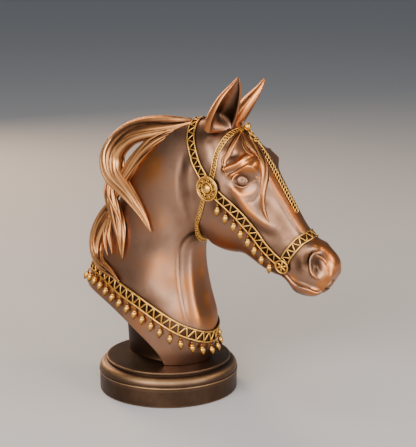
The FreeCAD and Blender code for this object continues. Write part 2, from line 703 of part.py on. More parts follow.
# ---------------------------------------------------------------- rosettes and their studs
def rosette(label, diameter, height, holes, placement):
    """A wheel with a raised rim and hub, a thin web, and holes through the web."""
    flat = total(0.0)
    bore = total((0.5, "pin_diameter"), (1.0, "fit_gap"))
    rim = total((0.5, diameter))
    inner = total((0.39, diameter))
    mid = total((0.20, diameter))
    web = total((0.45, height))
    full = total((1.0, height))
    body = turned(label, [
        (bore, flat), (total((0.5, diameter), -0.4), flat), (rim, total(0.4)), (rim, total((1.0, height), -0.7)),
        (total((0.5, diameter), -0.7), full), (inner, full), (inner, web), (mid, web), (mid, total((0.8, height))),
        (bore, total((0.8, height)))], (), placement)
    sketch = new_sketch(body, "XY_Plane", label + "_hole_outline")
    hole = sketch.addGeometry(Part.Circle(Vector(size(diameter) * 0.295, 0, 0), Vector(0, 0, 1),
                                          size(diameter) * 0.055), False)
    pin_vertex(sketch, hole, 3, "centre", total((0.295, diameter)), flat)
    number = sketch.addConstraint(Sketcher.Constraint("Radius", hole, size(diameter) * 0.055))
    sketch.renameConstraint(number, "hole")
    sketch.setExpression("Constraints.hole", f"0.055 * sizes.{diameter}")
    pocket = body.newObject("PartDesign::Pocket", label + "_hole")
    pocket.Profile = sketch
    pocket.Type = 1
    pocket.Midplane = True
    ring = body.newObject("PartDesign::PolarPattern", label + "_holes")
    ring.Originals = [pocket]
    ring.Axis = (sketch, ["N_Axis"])
    ring.Angle = 360.0
    ring.Occurrences = holes
    body.Tip = ring
    return body


def stud(label, height, dome, shank, placement):
    """A domed stud: its shank goes through a rosette into the casting."""
    seat = total((0.8, height))
    turned(label, [
        (centre, total(-shank)), (total((0.5, "pin_diameter"), -0.4), total(-shank)),
        (total((0.5, "pin_diameter")), total(0.4 - shank)), (total((0.5, "pin_diameter")), seat),
        (dome, seat), (dome, total((0.8, height), 0.3)),
        (total(round(dome[0] * 0.15, 3)), total((0.8, height), 0.3, dome_rise(dome))),
        (centre, total((0.8, height), 0.3, dome_rise(dome)))], {5: total(dome[0] * 1.0)}, placement)


def dome_rise(dome):
    """How far a dome of the given foot rises."""
    return round(dome[0] * 0.62, 3)


shank = lining - size("fit_gap") + size("strap_gap") + size("strap_thickness") + 2.5
for side, cheek_at, mouth_at in (("right", cheek_hub, mouth_hub),
                                 ("left", flipped(cheek_hub), flipped(mouth_hub))):
    rosette(f"cheek_rosette_{side}", "rosette_diameter", "rosette_height", 10, cheek_at)
    stud(f"cheek_stud_{side}", "rosette_height", total((0.5, "boss_diameter")), shank, cheek_at)
    rosette(f"nose_rosette_{side}", "nose_rosette_diameter", "nose_rosette_height", 6, mouth_at)
    stud(f"nose_stud_{side}", "nose_rosette_height", total((0.15, "nose_rosette_diameter"), 0.4), shank, mouth_at)

stud_holes = []
for placement in (cheek_hub, mouth_hub, flipped(cheek_hub), flipped(mouth_hub)):
    hole = Part.makeCylinder(size("pin_diameter") / 2.0 + size("fit_gap"), shank + 5,
                             Vector(0, 0, -shank - 0.5), Vector(0, 0, 1))
    hole.Placement = placement
    stud_holes.append(hole)
feature("head_casting", biggest(head_shell.cut(stud_holes)))

# ---------------------------------------------------------------- hanging drops, bead and ring
def drop_shape():
    """A bead, a short neck and a pear, hanging down from the origin along -Z."""
    length, radius = size("drop_length"), size("drop_diameter") / 2.0
    profile = ((0, 0), (0.40, -0.02), (0.55, -0.09), (0.42, -0.17), (0.24, -0.24), (0.30, -0.31),
               (0.62, -0.42), (0.92, -0.56), (1.0, -0.70), (0.82, -0.85), (0.42, -0.96), (0, -1.0))
    curve = Part.BSplineCurve()
    curve.interpolate([Vector(r * radius, 0, z * length) for r, z in profile])
    axis = Part.makeLine(curve.EndPoint, curve.StartPoint)
    return Part.Face(Part.Wire([curve.toShape(), axis])).revolve(Vector(0, 0, 0), Vector(0, 0, 1), 360)


def hang(path, count, width, ends):
    """Drops below the lower edge of a strap, each hanging along the skin."""
    frames, _ = strap_frames(path, 101)
    drops = []
    radius = size("drop_diameter") / 2.0
    for k in range(count):
        share = ends[0] + (ends[1] - ends[0]) * k / max(count - 1, 1)
        point, normal, _, cross = frames[int(round(share * 100))]
        if cross.z > 0:
            cross = cross * -1.0
        down = Vector(0, 0, -1)
        down = down - normal * down.dot(normal)
        down.normalize()
        start = point + cross * (width / 2.0 + 0.25) + normal * (radius + size("strap_gap") + 0.1)
        drop = drop_shape()
        drop.Placement = Placement(start, Rotation(Vector(0, 0, -1), down))
        drops.append(drop)
    return drops


collar_drops = hang(COLLAR, 17, size("collar_width"), (0.03, 0.97))
feature("collar_drops_right", group(collar_drops))
feature("collar_drops_left", group([mirrored(drop) for drop in collar_drops]))
cheek_drops = hang(CHEEK, 8, size("cheek_width"), (0.17, 0.88))
feature("cheek_drops_right", group(cheek_drops))
feature("cheek_drops_left", group([mirrored(drop) for drop in cheek_drops]))

brow_point, brow_normal, brow_run = skin_frame(14.05, 0)
bead_r = size("bead_diameter") / 2.0
bead_lift = size("strap_gap") + size("strap_thickness") + bead_r * 0.9
bead_middle = brow_point + brow_normal * bead_lift
bead = Part.makeSphere(bead_r, bead_middle)
seat_box = Part.makeBox(20, 20, 20, Vector(-10, -10, -20))
seat_box.Placement = Placement(brow_point + brow_normal * (size("strap_gap") + size("strap_thickness")),
                               Rotation(Vector(0, 0, 1), brow_normal)).multiply(seat_box.Placement)
feature("brow_bead", biggest(bead.cut(seat_box)))
ring_middle = skin_point(14.45, 0) + skin_frame(14.45, 0)[1] * (size("strap_gap") + size("strap_thickness") + 1.5)
ring = Part.makeTorus(3.4, 0.9, ring_middle, skin_frame(14.45, 0)[1])
feature("brow_ring", biggest(ring.cut(bead)))

# ---------------------------------------------------------------- mane and forelock
def lock_solid(rows, facing):
    """A lock of hair: rows of (x, y, z, width, thickness) swept with pointed ends."""
    points = [placed(*row[:3]) for row in rows]
    curve = Part.BSplineCurve()
    curve.interpolate(points)
    steps = 2 * len(rows) - 1
    params = [curve.parameter(point) for point in points]
    sections = []
    for k in range(steps):
        i, half = divmod(k, 2)
        u = params[i] if not half else (params[i] + params[i + 1]) / 2.0
        near = rows[i]
        next_row = rows[min(i + half, len(rows) - 1)]
        width, thick = (near[3] + next_row[3]) / 2.0, (near[4] + next_row[4]) / 2.0
        run = curve.tangent(u)[0]
        face = facing[i] if isinstance(facing, list) else Vector(*facing)
        face = face - run * face.dot(run)
        face.normalize()
        across = run.cross(face)
        middle = curve.value(u)
        ring_points = []
        for m in range(12):
            turn = 2.0 * math.pi * m / 12.0
            ring_points.append(middle + across * (width / 2.0 * math.cos(turn))
                               + face * (thick / 2.0 * math.sin(turn)))
        sections.append(ring_points)
    return skin_over(sections)


neck_swell = form_solid(neck_stations, -BOND)
form_swell = [neck_swell, head_swell]

LOOP = ((28, -7, 255.5, 8, 4), (14, -8, 253, 15, 6), (-2, -8, 250, 20, 8), (-19, -8, 247, 23, 9),
        (-36, -7, 240.5, 24, 10), (-50, -7, 229.5, 25, 10.5), (-57, -8, 216.5, 24, 10.5),
        (-52.5, -12, 203, 20, 9.5), (-40, -17, 194.5, 17, 8), (-25, -22.5, 186, 13, 6.5),
        (-13, -26, 176, 9.5, 5), (-5, -28.2, 166, 6, 3.5), (-0.8, -28.6, 157, 2, 2))
CREST = ((14, -10, 246, 4, 3), (0, -12, 239, 8, 5), (-13, -12, 229, 9, 6), (-25, -11, 217, 9, 6),
         (-35, -11, 204, 9, 6), (-43, -12, 190, 8, 5), (-48, -13, 178, 4, 3))
MIDDLE = ((-52, -13, 197, 9, 4), (-50, -14, 184, 12, 6), (-46, -17, 170, 13, 6.5), (-41, -20.5, 157, 11, 6),
          (-36, -24, 145, 7, 5), (-31.4, -27, 127, 2, 2))
LOWER = ((-52, -12, 174, 8, 5), (-60, -11, 162, 13, 6.5), (-69, -8, 148, 14, 7.5), (-73.5, -8, 132, 14, 8),
         (-70, -12, 119.5, 12, 7), (-60, -20, 113, 10, 6), (-47, -26.5, 110.5, 7, 4.5), (-35, -31, 106, 2, 2))
WISPS = (((-50, -17, 161, 3, 2.5), (-52.5, -18, 149, 4, 3), (-50, -20.5, 138, 3, 2.5),
          (-47, -23, 129, 1.2, 1.2)),
         ((-55, -15, 158, 3, 2.5), (-58, -15.5, 146, 3.6, 2.6), (-57, -18, 134, 2.6, 2.2),
          (-53.5, -20.5, 126, 1.2, 1.2)))
locks = {}


def add_lock(name, solid, clear_of):
    """Keeps a lock clear of the casting and of the locks that lie over it."""
    for other in form_swell + clear_of:
        if solid.BoundBox.intersect(other.BoundBox):
            solid = biggest(solid.cut(other))
    locks[name] = solid
    feature(name, solid)


collar_plain = ribbon(COLLAR, size("collar_width") + 1.0, 40, 0, 0.05)
add_lock("mane_loop_lock", lock_solid(LOOP, (0.1, -0.85, 0.5)), [])
add_lock("mane_middle_lock", lock_solid(MIDDLE, (-0.1, -1, 0.1)), [locks["mane_loop_lock"]])
add_lock("mane_crest_lock", lock_solid(CREST, (-0.2, -1, 0.4)),
         [locks["mane_loop_lock"], locks["mane_middle_lock"]])
add_lock("mane_lower_lock", lock_solid(LOWER, (-0.3, -1, 0)),
         [locks["mane_middle_lock"], locks["mane_crest_lock"], locks["mane_loop_lock"], collar_plain])
wisp_solids = []
for rows in WISPS:
    wisp = lock_solid(rows, (0, -1, 0))
    for other in (neck_swell, locks["mane_lower_lock"], locks["mane_middle_lock"], locks["mane_crest_lock"]):
        wisp = biggest(wisp.cut(other))
    wisp_solids.append(wisp)
feature("mane_wisps", group(wisp_solids))

FORELOCK_SIDE = ((14.25, 11, 3, 1.6), (14.3, 20, 6, 3), (14.25, 32, 8, 3.6), (14.2, 45, 8, 3.6),
                 (14.1, 56, 7, 3.2), (14.05, 65, 5, 2.6), (14.2, 70, 2, 1.4))
FORELOCK_FRONT = ((14.35, 12, 3, 1.6), (14.75, 15, 6, 3), (15.4, 20, 7.5, 3.6), (16.1, 29, 7, 3.4),
                  (16.7, 39, 6, 3), (17.2, 51, 4.6, 2.6), (17.6, 60, 3.6, 2.2), (18.2, 66, 1.6, 1.2))


def skin_lock(rows):
    """A lock that lies on the form: rows of (station, angle, width, thickness)."""
    places, facing = [], []
    for s, angle, width, thick in rows:
        point, normal, _ = skin_frame(s, angle)
        point = point + normal * (thick * 0.45)
        x, y, z = point.x / scale_x, point.y / scale_y, DRAWN["floor"] + (point.z - floor) / scale_z
        places.append((x, y, z, width, thick))
        facing.append(normal)
    return lock_solid(places, facing)


side_lock = skin_lock(FORELOCK_SIDE)
front_lock = skin_lock(FORELOCK_FRONT)
head_grown = [head_swell] + extras
front_lock = biggest(front_lock.cut(head_grown + [brow_room]))
side_lock = biggest(side_lock.cut(head_grown + [brow_room, front_lock]))
feature("forelock_front", front_lock)
feature("forelock_side", side_lock)

# ---------------------------------------------------------------- check and write
doc.recompute()
for obj in doc.Objects:
    if "Invalid" in obj.State or "Error" in obj.State:
        raise RuntimeError(f"{obj.Label} did not recompute: {obj.State}")
os.makedirs("parts", exist_ok=True)
for obj in parts:
    shape = obj.Shape
    if shape.isNull() or not shape.isValid() or not shape.Solids:
        raise RuntimeError(f"{obj.Label} is not a sound solid")
    shape.exportStep(f"parts/{obj.Label}.step")
print(f"{len(parts)} sub-parts written")
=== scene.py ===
import math
import bpy
import numpy as np
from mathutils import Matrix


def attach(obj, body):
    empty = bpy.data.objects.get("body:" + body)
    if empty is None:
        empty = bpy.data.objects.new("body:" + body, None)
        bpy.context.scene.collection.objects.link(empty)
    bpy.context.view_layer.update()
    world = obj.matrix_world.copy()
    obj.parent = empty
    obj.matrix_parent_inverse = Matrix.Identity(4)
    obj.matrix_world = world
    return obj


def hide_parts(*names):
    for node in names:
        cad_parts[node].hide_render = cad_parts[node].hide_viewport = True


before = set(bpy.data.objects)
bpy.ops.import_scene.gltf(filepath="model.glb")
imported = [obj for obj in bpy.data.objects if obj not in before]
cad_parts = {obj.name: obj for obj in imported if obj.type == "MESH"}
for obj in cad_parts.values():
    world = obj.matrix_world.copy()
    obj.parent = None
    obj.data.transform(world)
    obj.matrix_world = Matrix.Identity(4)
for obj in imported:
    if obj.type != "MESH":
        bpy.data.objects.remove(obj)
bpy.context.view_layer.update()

# ---- the sculpted form: one family of cross-sections, in millimetres
# columns: upper end x, z on the crest or face; lower end x, z on the throat or jaw; half width;
# how much wider towards the upper end; how square; how far the middle bows forward
seamStation = 11.0
sections = np.array([
    (-89, 84, 40, 28, 37, -0.30, 0.03, 0), (-86, 97, 45.5, 44, 37, -0.30, 0.03, 0),
    (-81, 112, 48, 58, 36, -0.32, 0.03, 0), (-74, 129, 46.5, 73, 34, -0.34, 0.03, 0),
    (-66, 147, 42.5, 88, 31, -0.34, 0.02, 0), (-57, 165, 39, 102, 29, -0.32, 0.02, 0),
    (-47, 184, 36.5, 116, 27.5, -0.28, 0.02, 0), (-37, 204, 35.5, 128, 27, -0.22, 0.02, 0),
    (-25, 222, 36, 138, 27, -0.14, 0.02, 0), (-9, 239, 38, 145, 27.5, -0.08, 0.03, 0),
    (9, 251, 41, 149, 28, -0.02, 0.04, 0), (28, 256, 45, 150, 28, 0.05, 0.04, 0),
    (47, 259, 49, 145, 29, 0.10, 0.04, 0), (64, 257, 54, 142, 30, 0.12, 0.03, 0),
    (79, 250, 61, 140, 31, 0.10, 0.02, 0), (90, 241, 71, 139, 31, 0.06, 0.02, 0),
    (99, 230.5, 80, 139, 29.5, 0.04, 0.02, 0), (108, 217.5, 87, 136.5, 27, 0.04, 0.03, 0),
    (117.5, 202.5, 95, 131.5, 24, 0.05, 0.05, 0), (127.5, 187, 104, 126.5, 21.5, 0.05, 0.06, 0),
    (137, 172.5, 113, 123, 19.5, 0.04, 0.06, 0), (147, 162, 121.5, 119.5, 19, 0.03, 0.06, 0),
    (157, 156, 128.5, 114.5, 19.5, 0.0, 0.05, 0), (165, 149.5, 135.5, 110, 19.5, -0.02, 0.04, 0),
    (169.5, 141.5, 143, 107.5, 17.5, -0.03, 0.03, 1), (170, 132, 151, 108, 13.5, -0.03, 0.0, 2),
    (166.5, 124.5, 157.5, 112, 7, 0, 0, 0)], float)


def naturalSpline(values, q):
    # natural cubic spline through rows at 0, 1, 2, ...: a*v0 + b*v1 + ((a^3-a)*m0 + (b^3-b)*m1)/6
    count = len(values)
    matrix = np.eye(count)
    right = np.zeros_like(values)
    for i in range(1, count - 1):
        matrix[i, i - 1:i + 2] = (1, 4, 1)
        right[i] = 6 * (values[i + 1] - 2 * values[i] + values[i - 1])
    bend = np.linalg.solve(matrix, right)
    i = np.clip(np.floor(q).astype(int), 0, count - 2)
    b = (q - i)[..., None]
    a = 1 - b
    return a * values[i] + b * values[i + 1] + ((a**3 - a) * bend[i] + (b**3 - b) * bend[i + 1]) / 6


def formPoint(s, t):
    # x, z = middle + half chord * cos t; y = -W sin t (1 + a cos t + b cos 2t); t = 0 on the crest or face
    q = naturalSpline(sections, s)
    tx, tz, bx, bz, half, egg, square, bow = np.moveaxis(q, -1, 0)
    c = np.cos(t)
    y = -half * np.sin(t) * (1 + egg * c + square * np.cos(2 * t))
    length = np.hypot(tx - bx, tz - bz)
    ux, uz = (tz - bz) / length, -(tx - bx) / length
    out = bow * np.sin(t)**2
    return np.stack([(tx + bx) / 2 + (tx - bx) / 2 * c + ux * out, y,
                     (tz + bz) / 2 + (tz - bz) / 2 * c + uz * out], -1)


def unit(v):
    return v / np.maximum(np.linalg.norm(v, axis=-1, keepdims=True), 1e-12)


def formNormal(s, t):
    e = 0.02
    along = formPoint(s + e, t) - formPoint(s - e, t)
    around = formPoint(s, t + e) - formPoint(s, t - e)
    return unit(np.cross(around, along))


def curveThrough(points, count):
    points = np.array(points, float)
    return naturalSpline(points, np.linspace(0, len(points) - 1, count))


def linePoints(stations, count=26):
    # a smooth line on the right side of the form, from (station, degrees) pairs
    q = curveThrough(stations, count)
    return formPoint(q[:, 0], np.radians(q[:, 1]))


def lineDistance(p, line):
    # nearest distance to a chain of segments, and the share of its length at the foot
    best = np.full(p.shape[:-1], 1e9)
    share = np.zeros(p.shape[:-1])
    count = len(line) - 1
    for i in range(count):
        a, d = line[i], line[i + 1] - line[i]
        k = np.clip(((p - a) @ d) / max(d @ d, 1e-9), 0, 1)
        dist = np.linalg.norm(p - a - k[..., None] * d, axis=-1)
        near = dist < best
        best = np.where(near, dist, best)
        share = np.where(near, (i + k) / count, share)
    return best, share


# ---- ridges and grooves: (station, degrees) path, height, width, fade at the ends
ridges = [
    # cheekbone under the eye, and the hollow below it
    ([(14.7, 72), (15.25, 76), (16.05, 81), (16.9, 83), (18.0, 78), (19.0, 68)], 1.6, 4.0, 1),
    ([(14.6, 81), (15.3, 87), (16.2, 92), (17.2, 93), (18.3, 88), (19.3, 78)], -0.9, 4.4, 1),
    # upper brow fold, the groove under it, the lower brow fold
    ([(14.0, 67), (14.1, 63), (14.6, 55), (14.95, 47), (15.2, 38), (15.5, 30)], 1.9, 1.8, 1),
    ([(14.3, 66), (14.85, 57.5), (15.25, 50), (15.55, 41), (15.8, 34)], -0.9, 1.0, 1),
    ([(14.4, 69), (14.7, 64), (15.05, 57), (15.4, 49), (15.75, 44), (16.25, 41)], 1.9, 1.5, 1),
    # soft bag under the eye and its fold
    ([(15.1, 73), (15.6, 75), (16.2, 71), (16.65, 62), (16.8, 50)], 0.35, 2.4, 1),
    ([(16.35, 77), (16.8, 72), (17.1, 62), (17.1, 52)], -0.18, 1.3, 1),
    # nostril: outer rim, inner wing, hollow behind it
    ([(22.35, 32), (22.15, 42), (22.1, 52), (22.3, 64), (22.8, 75), (23.35, 80), (23.95, 76)], 1.6, 1.15, 1),
    ([(22.35, 46), (22.5, 43), (22.8, 40), (23.25, 39), (23.6, 42)], 1.3, 1.0, 1),
    ([(22.0, 30), (21.75, 48), (21.85, 66), (22.4, 85)], -0.6, 2.4, 1),
    # mouth line, upper lip, lower lip, fold of the upper lip
    ([(21.15, 128), (22.3, 130), (23.25, 121), (23.95, 114), (24.65, 110), (25.4, 101), (26, 92)],
     -2.1, 0.9, 0),
    ([(21.2, 118), (22.2, 120), (23.1, 112), (24.1, 105), (24.9, 97)], 0.9, 1.7, 1),
    ([(21.6, 140), (22.6, 140), (23.6, 131), (24.6, 122), (25.4, 113)], 0.8, 1.7, 1),
    ([(23.9, 109), (24.4, 104), (25.0, 98)], 0.7, 1.3, 1),
    # edge of the nose bone and the flat beside it
    ([(16.6, 24), (17.6, 27), (18.8, 30), (20.0, 32), (21.0, 33)], 0.7, 4.6, 1),
    ([(17.2, 60), (18.4, 57), (19.6, 56), (20.4, 60)], -0.8, 6.0, 1),
    # hollow behind the jaw, the jaw's rear edge, a fold of the neck
    ([(11.0, 60), (10.75, 72), (10.45, 84), (10.2, 97), (10.1, 110), (10.0, 124), (9.8, 138)], -0.5, 3.4, 1),
    ([(11.6, 66), (11.2, 80), (11.0, 98), (10.9, 112), (10.75, 126), (10.6, 142)], 0.9, 4.4, 1),
    ([(10.4, 78), (10.1, 92), (9.7, 108)], -0.2, 1.6, 1),
    # groove beside the windpipe, the neck muscle behind it, the windpipe
    ([(10.1, 154), (9.9, 150), (9.2, 145.5), (8.55, 142), (7.75, 138), (6.95, 136), (6.25, 137), (5.15, 138),
      (4.25, 140), (3.4, 142), (2.5, 146)], -0.8, 2.2, 1),
    ([(9.4, 136), (8.3, 130), (7.2, 126), (6.2, 125.5), (5.2, 127), (4.0, 129)], 0.5, 6.0, 1),
    ([(9.4, 160), (8.65, 158), (6.9, 156), (5.45, 155), (4.2, 155), (3.1, 158), (2.1, 161)], 1.3, 6.0, 1),
    # hollow behind the brow band
    ([(12.4, 40), (12.9, 52), (13.2, 66)], -0.4, 3.4, 1),
]
# ---- swells and hollows: centre (station, degrees), radius, height
swells = [
    (15.75, 42, 10.5, 7.6), (15.6, 60, 6.8, -5.4), (14.3, 47, 4.6, -1.7), (13.5, 92, 15.0, 1.0),
    (12.6, 118, 20.0, 2.4), (17.6, 106, 9.0, -1.2), (18.0, 60, 9.0, -0.5), (23.0, 61, 4.6, -3.6),
    (22.7, 52, 3.0, -1.2), (23.5, 66, 3.8, -1.4), (22.7, 163, 7.5, 1.6), (20.8, 168, 6.0, -1.3),
    (24.2, 20, 8.0, 1.6), (8.45, 60, 18.0, 1.4), (5.6, 92, 16.0, -0.9), (3.6, 100, 22.0, 1.0),
    (7.2, 105, 14.0, 0.7), (13.7, 40, 6.0, -1.0), (12.7, 78, 6.5, -0.6), (16.0, 116, 10.0, 0.8),
    (24.7, 45, 4.0, 1.2), (21.4, 88, 6.0, -0.6), (22.0, 26, 4.0, 1.2),
]


def sculpt(s, t):
    # moves the form out along its normal by the sum of h*exp(-(d/w)^2) over all ridges and swells;
    # the left side is the mirror image of the right
    t = np.mod(t, 2 * np.pi)
    turned = np.where(t > np.pi, 2 * np.pi - t, t)
    base = formPoint(s, turned)
    lift = np.zeros(s.shape)
    for path, height, width, fade in ridges:
        line = linePoints(path)
        low, high = line.min(0) - 3 * width, line.max(0) + 3 * width
        near = np.all((base > low) & (base < high), axis=-1)
        if not near.any():
            continue
        dist, share = lineDistance(base[near], line)
        ends = np.clip(np.minimum(share, 1 - share) * 6, 0, 1) if fade else 1
        lift[near] += height * np.exp(-(dist / width)**2) * (0.15 + 0.85 * ends if fade else 1)
    for station, degrees, radius, height in swells:
        centre = formPoint(np.array(float(station)), np.radians(degrees))
        lift += height * np.exp(-(np.linalg.norm(base - centre, axis=-1) / radius)**2)
    return lift


def skinPoint(s, t):
    s, t = np.broadcast_arrays(np.asarray(s, float), np.asarray(t, float))
    return formPoint(s, t) + formNormal(s, t) * sculpt(s, t)[..., None]


def skinFrame(s, t):
    # displaced point with its outward normal
    s, t = np.broadcast_arrays(np.asarray(s, float), np.asarray(t, float))
    e = 0.03
    along = skinPoint(s + e, t) - skinPoint(s - e, t)
    around = skinPoint(s, t + e) - skinPoint(s, t - e)
    return skinPoint(s, t), unit(np.cross(around, along))


# ---- mesh making: grids of points joined into one closed piece
def gridFaces(rows, columns, closedRows=False):
    i = np.arange(rows if closedRows else rows - 1)[:, None]
    j = np.arange(columns)[None, :]
    i2, j2 = (i + 1) % rows, (j + 1) % columns
    corners = [i * columns + j, i * columns + j2, i2 * columns + j2, i2 * columns + j]
    return np.stack(corners, -1).reshape(-1, 4)


class Shell:
    # collects grids and writes them as one mesh, millimetres in and metres out
    def __init__(self):
        self.points, self.quads, self.tris, self.wearAndShading, self.count = [], [], [], [], 0

    def grid(self, points, wearAndShading, poleStart=False, poleEnd=False, closedRows=False, flip=False):
        rows, columns = points.shape[:2]
        quads = gridFaces(rows, columns, closedRows) + self.count
        tris = []
        flat = points.reshape(-1, 3)
        wornAndShaded = np.broadcast_to(wearAndShading, (rows, columns)).reshape(-1)
        ring, after = np.arange(columns), (np.arange(columns) + 1) % columns
        extra, extraWearAndShading = [], []
        if poleStart:
            pole = self.count + len(flat)
            extra.append(points[0].mean(0))
            extraWearAndShading.append(wornAndShaded[:columns].mean())
            tris.append(np.stack([np.full(columns, pole), self.count + after, self.count + ring], -1))
        if poleEnd:
            pole = self.count + len(flat) + len(extra)
            base = self.count + (rows - 1) * columns
            extra.append(points[-1].mean(0))
            extraWearAndShading.append(wornAndShaded[-columns:].mean())
            tris.append(np.stack([np.full(columns, pole), base + ring, base + after], -1))
        if flip:
            quads = quads[:, ::-1]
            tris = [tri[:, ::-1] for tri in tris]
        self.points.append(np.vstack([flat] + extra) if extra else flat)
        self.wearAndShading.append(np.concatenate([wornAndShaded, extraWearAndShading]))
        self.quads.append(quads)
        self.tris += tris
        self.count += len(flat) + len(extra)

    def mirror(self):
        # adds the left side: y changes sign and faces turn over
        points, wearAndShading = np.vstack(self.points), np.concatenate(self.wearAndShading)
        quads = np.vstack(self.quads)
        self.points = [points, points * (1, -1, 1)]
        self.wearAndShading = [wearAndShading, wearAndShading]
        self.quads = [quads, quads[:, ::-1] + self.count]
        if self.tris:
            tris = np.vstack(self.tris)
            self.tris = [tris, tris[:, ::-1] + self.count]
        self.count *= 2

    def mirrored(self):
        other = Shell()
        other.points = [np.vstack(self.points) * (1, -1, 1)]
        other.wearAndShading = [np.concatenate(self.wearAndShading)]
        other.quads = [np.vstack(self.quads)[:, ::-1]]
        other.tris = [np.vstack(self.tris)[:, ::-1]] if self.tris else []
        other.count = self.count
        return other

    def object(self, name, material, node, slot):
        points = np.vstack(self.points) * 0.001
        quads = np.vstack(self.quads)
        tris = np.vstack(self.tris) if self.tris else np.zeros((0, 3), int)
        mesh = bpy.data.meshes.new(name)
        corners = np.concatenate([quads.reshape(-1), tris.reshape(-1)])
        starts = np.concatenate([np.arange(len(quads)) * 4, len(quads) * 4 + np.arange(len(tris)) * 3])
        mesh.vertices.add(len(points))
        mesh.vertices.foreach_set("co", points.astype(np.float32).reshape(-1))
        mesh.loops.add(len(corners))
        mesh.loops.foreach_set("vertex_index", corners.astype(np.int32))
        mesh.polygons.add(len(starts))
        mesh.polygons.foreach_set("loop_start", starts.astype(np.int32))
        mesh.polygons.foreach_set("use_smooth", np.ones(len(starts), bool))
        mesh.update(calc_edges=True)
        mesh.validate()
        # per-point wear of the patina, which also carries painted shade and painted highlights
        layer = mesh.attributes.new("wearAndShading", "FLOAT", "POINT")
        layer.data.foreach_set("value", np.concatenate(self.wearAndShading).astype(np.float32))
        mesh.materials.append(material)
        obj = bpy.data.objects.new(name, mesh)
        bpy.context.scene.collection.objects.link(obj)
        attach(obj, "root")
        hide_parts(node)
        print(name, len(quads) * 2 + len(tris), "triangles")


def tubeGrid(path, up, across, thick, columns):
    # sweeps an ellipse along a path: p + A cos f * across + B sin f * up
    path, up = np.asarray(path, float), np.asarray(up, float)
    run = unit(np.gradient(path, axis=0))
    up = unit(up - run * (run * up).sum(-1, keepdims=True))
    side = np.cross(run, up)
    f = np.linspace(0, 2 * np.pi, columns, endpoint=False)
    a = np.broadcast_to(across, (len(path),))[:, None, None]
    b = np.broadcast_to(thick, (len(path),))[:, None, None]
    return path[:, None] + side[:, None] * a * np.cos(f)[:, None] + up[:, None] * b * np.sin(f)[:, None]


def turnedGrid(profile, centre, axis, columns=32):
    # turns (radius, height) pairs about an axis
    profile = np.asarray(profile, float)
    axis = unit(np.asarray(axis, float))
    helper = np.array((0, 0, 1.0)) if abs(axis[2]) < 0.9 else np.array((1.0, 0, 0))
    e1 = unit(np.cross(helper, axis))
    e2 = np.cross(axis, e1)
    f = np.linspace(0, 2 * np.pi, columns, endpoint=False)
    ring = e1 * np.cos(f)[:, None] + e2 * np.sin(f)[:, None]
    return np.asarray(centre) + profile[:, None, :1] * ring[None] + profile[:, None, 1:] * axis


# ---- materials
def linear(hexColour):
    rgb = [int(hexColour[i:i + 2], 16) / 255 for i in (1, 3, 5)]
    return [c / 12.92 if c <= 0.04045 else ((c + 0.055) / 1.055)**2.4 for c in rgb] + [1.0]


def addNode(tree, kind, settings=None, links=None):
    # one node with its settings and its incoming links
    node = tree.nodes.new(kind)
    for key, value in (settings or {}).items():
        if isinstance(key, int) or key in node.inputs:
            node.inputs[key].default_value = value
        else:
            setattr(node, key, value)
    for key, source in (links or {}).items():
        tree.links.new(source, node.inputs[key])
    return node


def addRamp(tree, source, stops):
    node = tree.nodes.new("ShaderNodeValToRGB")
    ramp = node.color_ramp
    while len(ramp.elements) < len(stops):
        ramp.elements.new(0.5)
    for element, (place, colour) in zip(ramp.elements, stops):
        element.position = place
        element.color = linear(colour)
    tree.links.new(source, node.inputs["Fac"])
    return node.outputs["Color"]


def patina(name, stops, roughness, patchSize, grain, bumpDepth=0.03, wearNoise=0.35):
    # metal whose colour runs from dark wax in the hollows to rubbed metal on the high parts, and from painted
    # shade to painted highlights where the meshes carry them;
    # patchSize in mm sets the cloudiness of the patina and grain in mm the casting skin
    material = bpy.data.materials.new(name)
    material.use_nodes = True
    tree = material.node_tree
    shader = tree.nodes["Principled BSDF"]
    shader.inputs["Metallic"].default_value = 1.0
    place = addNode(tree, "ShaderNodeTexCoord").outputs["Object"]
    cloud = addNode(tree, "ShaderNodeTexNoise", {"Scale": 1000 / patchSize, "Detail": 4.0, "Roughness": 0.6},
                    {"Vector": place}).outputs["Fac"]
    fine = addNode(tree, "ShaderNodeTexNoise", {"Scale": 1000 / grain, "Detail": 3.0, "Roughness": 0.55},
                   {"Vector": place}).outputs["Fac"]
    # per-point wear of the patina, with the painted shade and painted highlights it carries
    wearAndShading = addNode(tree, "ShaderNodeAttribute", {"attribute_name": "wearAndShading"}).outputs["Fac"]
    centred = addNode(tree, "ShaderNodeMath", {"operation": "SUBTRACT", 1: 0.5}, {0: cloud}).outputs[0]
    spread = addNode(tree, "ShaderNodeMath", {"operation": "MULTIPLY_ADD", 1: wearNoise},
                     {0: centred, 2: wearAndShading}).outputs[0]
    colour = addRamp(tree, spread, stops)
    tree.links.new(colour, shader.inputs["Base Color"])
    low, high = roughness
    rough = addNode(tree, "ShaderNodeMapRange",
                    {"From Min": 0.3, "From Max": 0.7, "To Min": low, "To Max": high}, {"Value": fine})
    tree.links.new(rough.outputs[0], shader.inputs["Roughness"])
    bump = addNode(tree, "ShaderNodeBump", {"Strength": 0.35, "Distance": bumpDepth * 0.001},
                   {"Height": fine})
    tree.links.new(bump.outputs[0], shader.inputs["Normal"])
    return material


# cast bronze, liver-brown patina waxed and rubbed back: copper edges, grey-brown flats, black hollows
bronzeSkin = patina("cast_bronze_rubbed_patina", [
    (0.0, "#140c08"), (0.2, "#38261a"), (0.38, "#6c4f3d"), (0.52, "#95715c"), (0.7, "#b4713f"),
    (1.0, "#e2955a")],
    (0.3, 0.4), 34, 0.7, wearNoise=0.34)
# cast bronze hair, lighter copper, with dark lines between strands
bronzeHair = patina("cast_bronze_hair_rubbed", [
    (0.0, "#150c07"), (0.3, "#4a2f1f"), (0.5, "#8b5c3c"), (0.72, "#c98c56"), (1.0, "#eeb37c")],
    (0.33, 0.45), 18, 0.6)
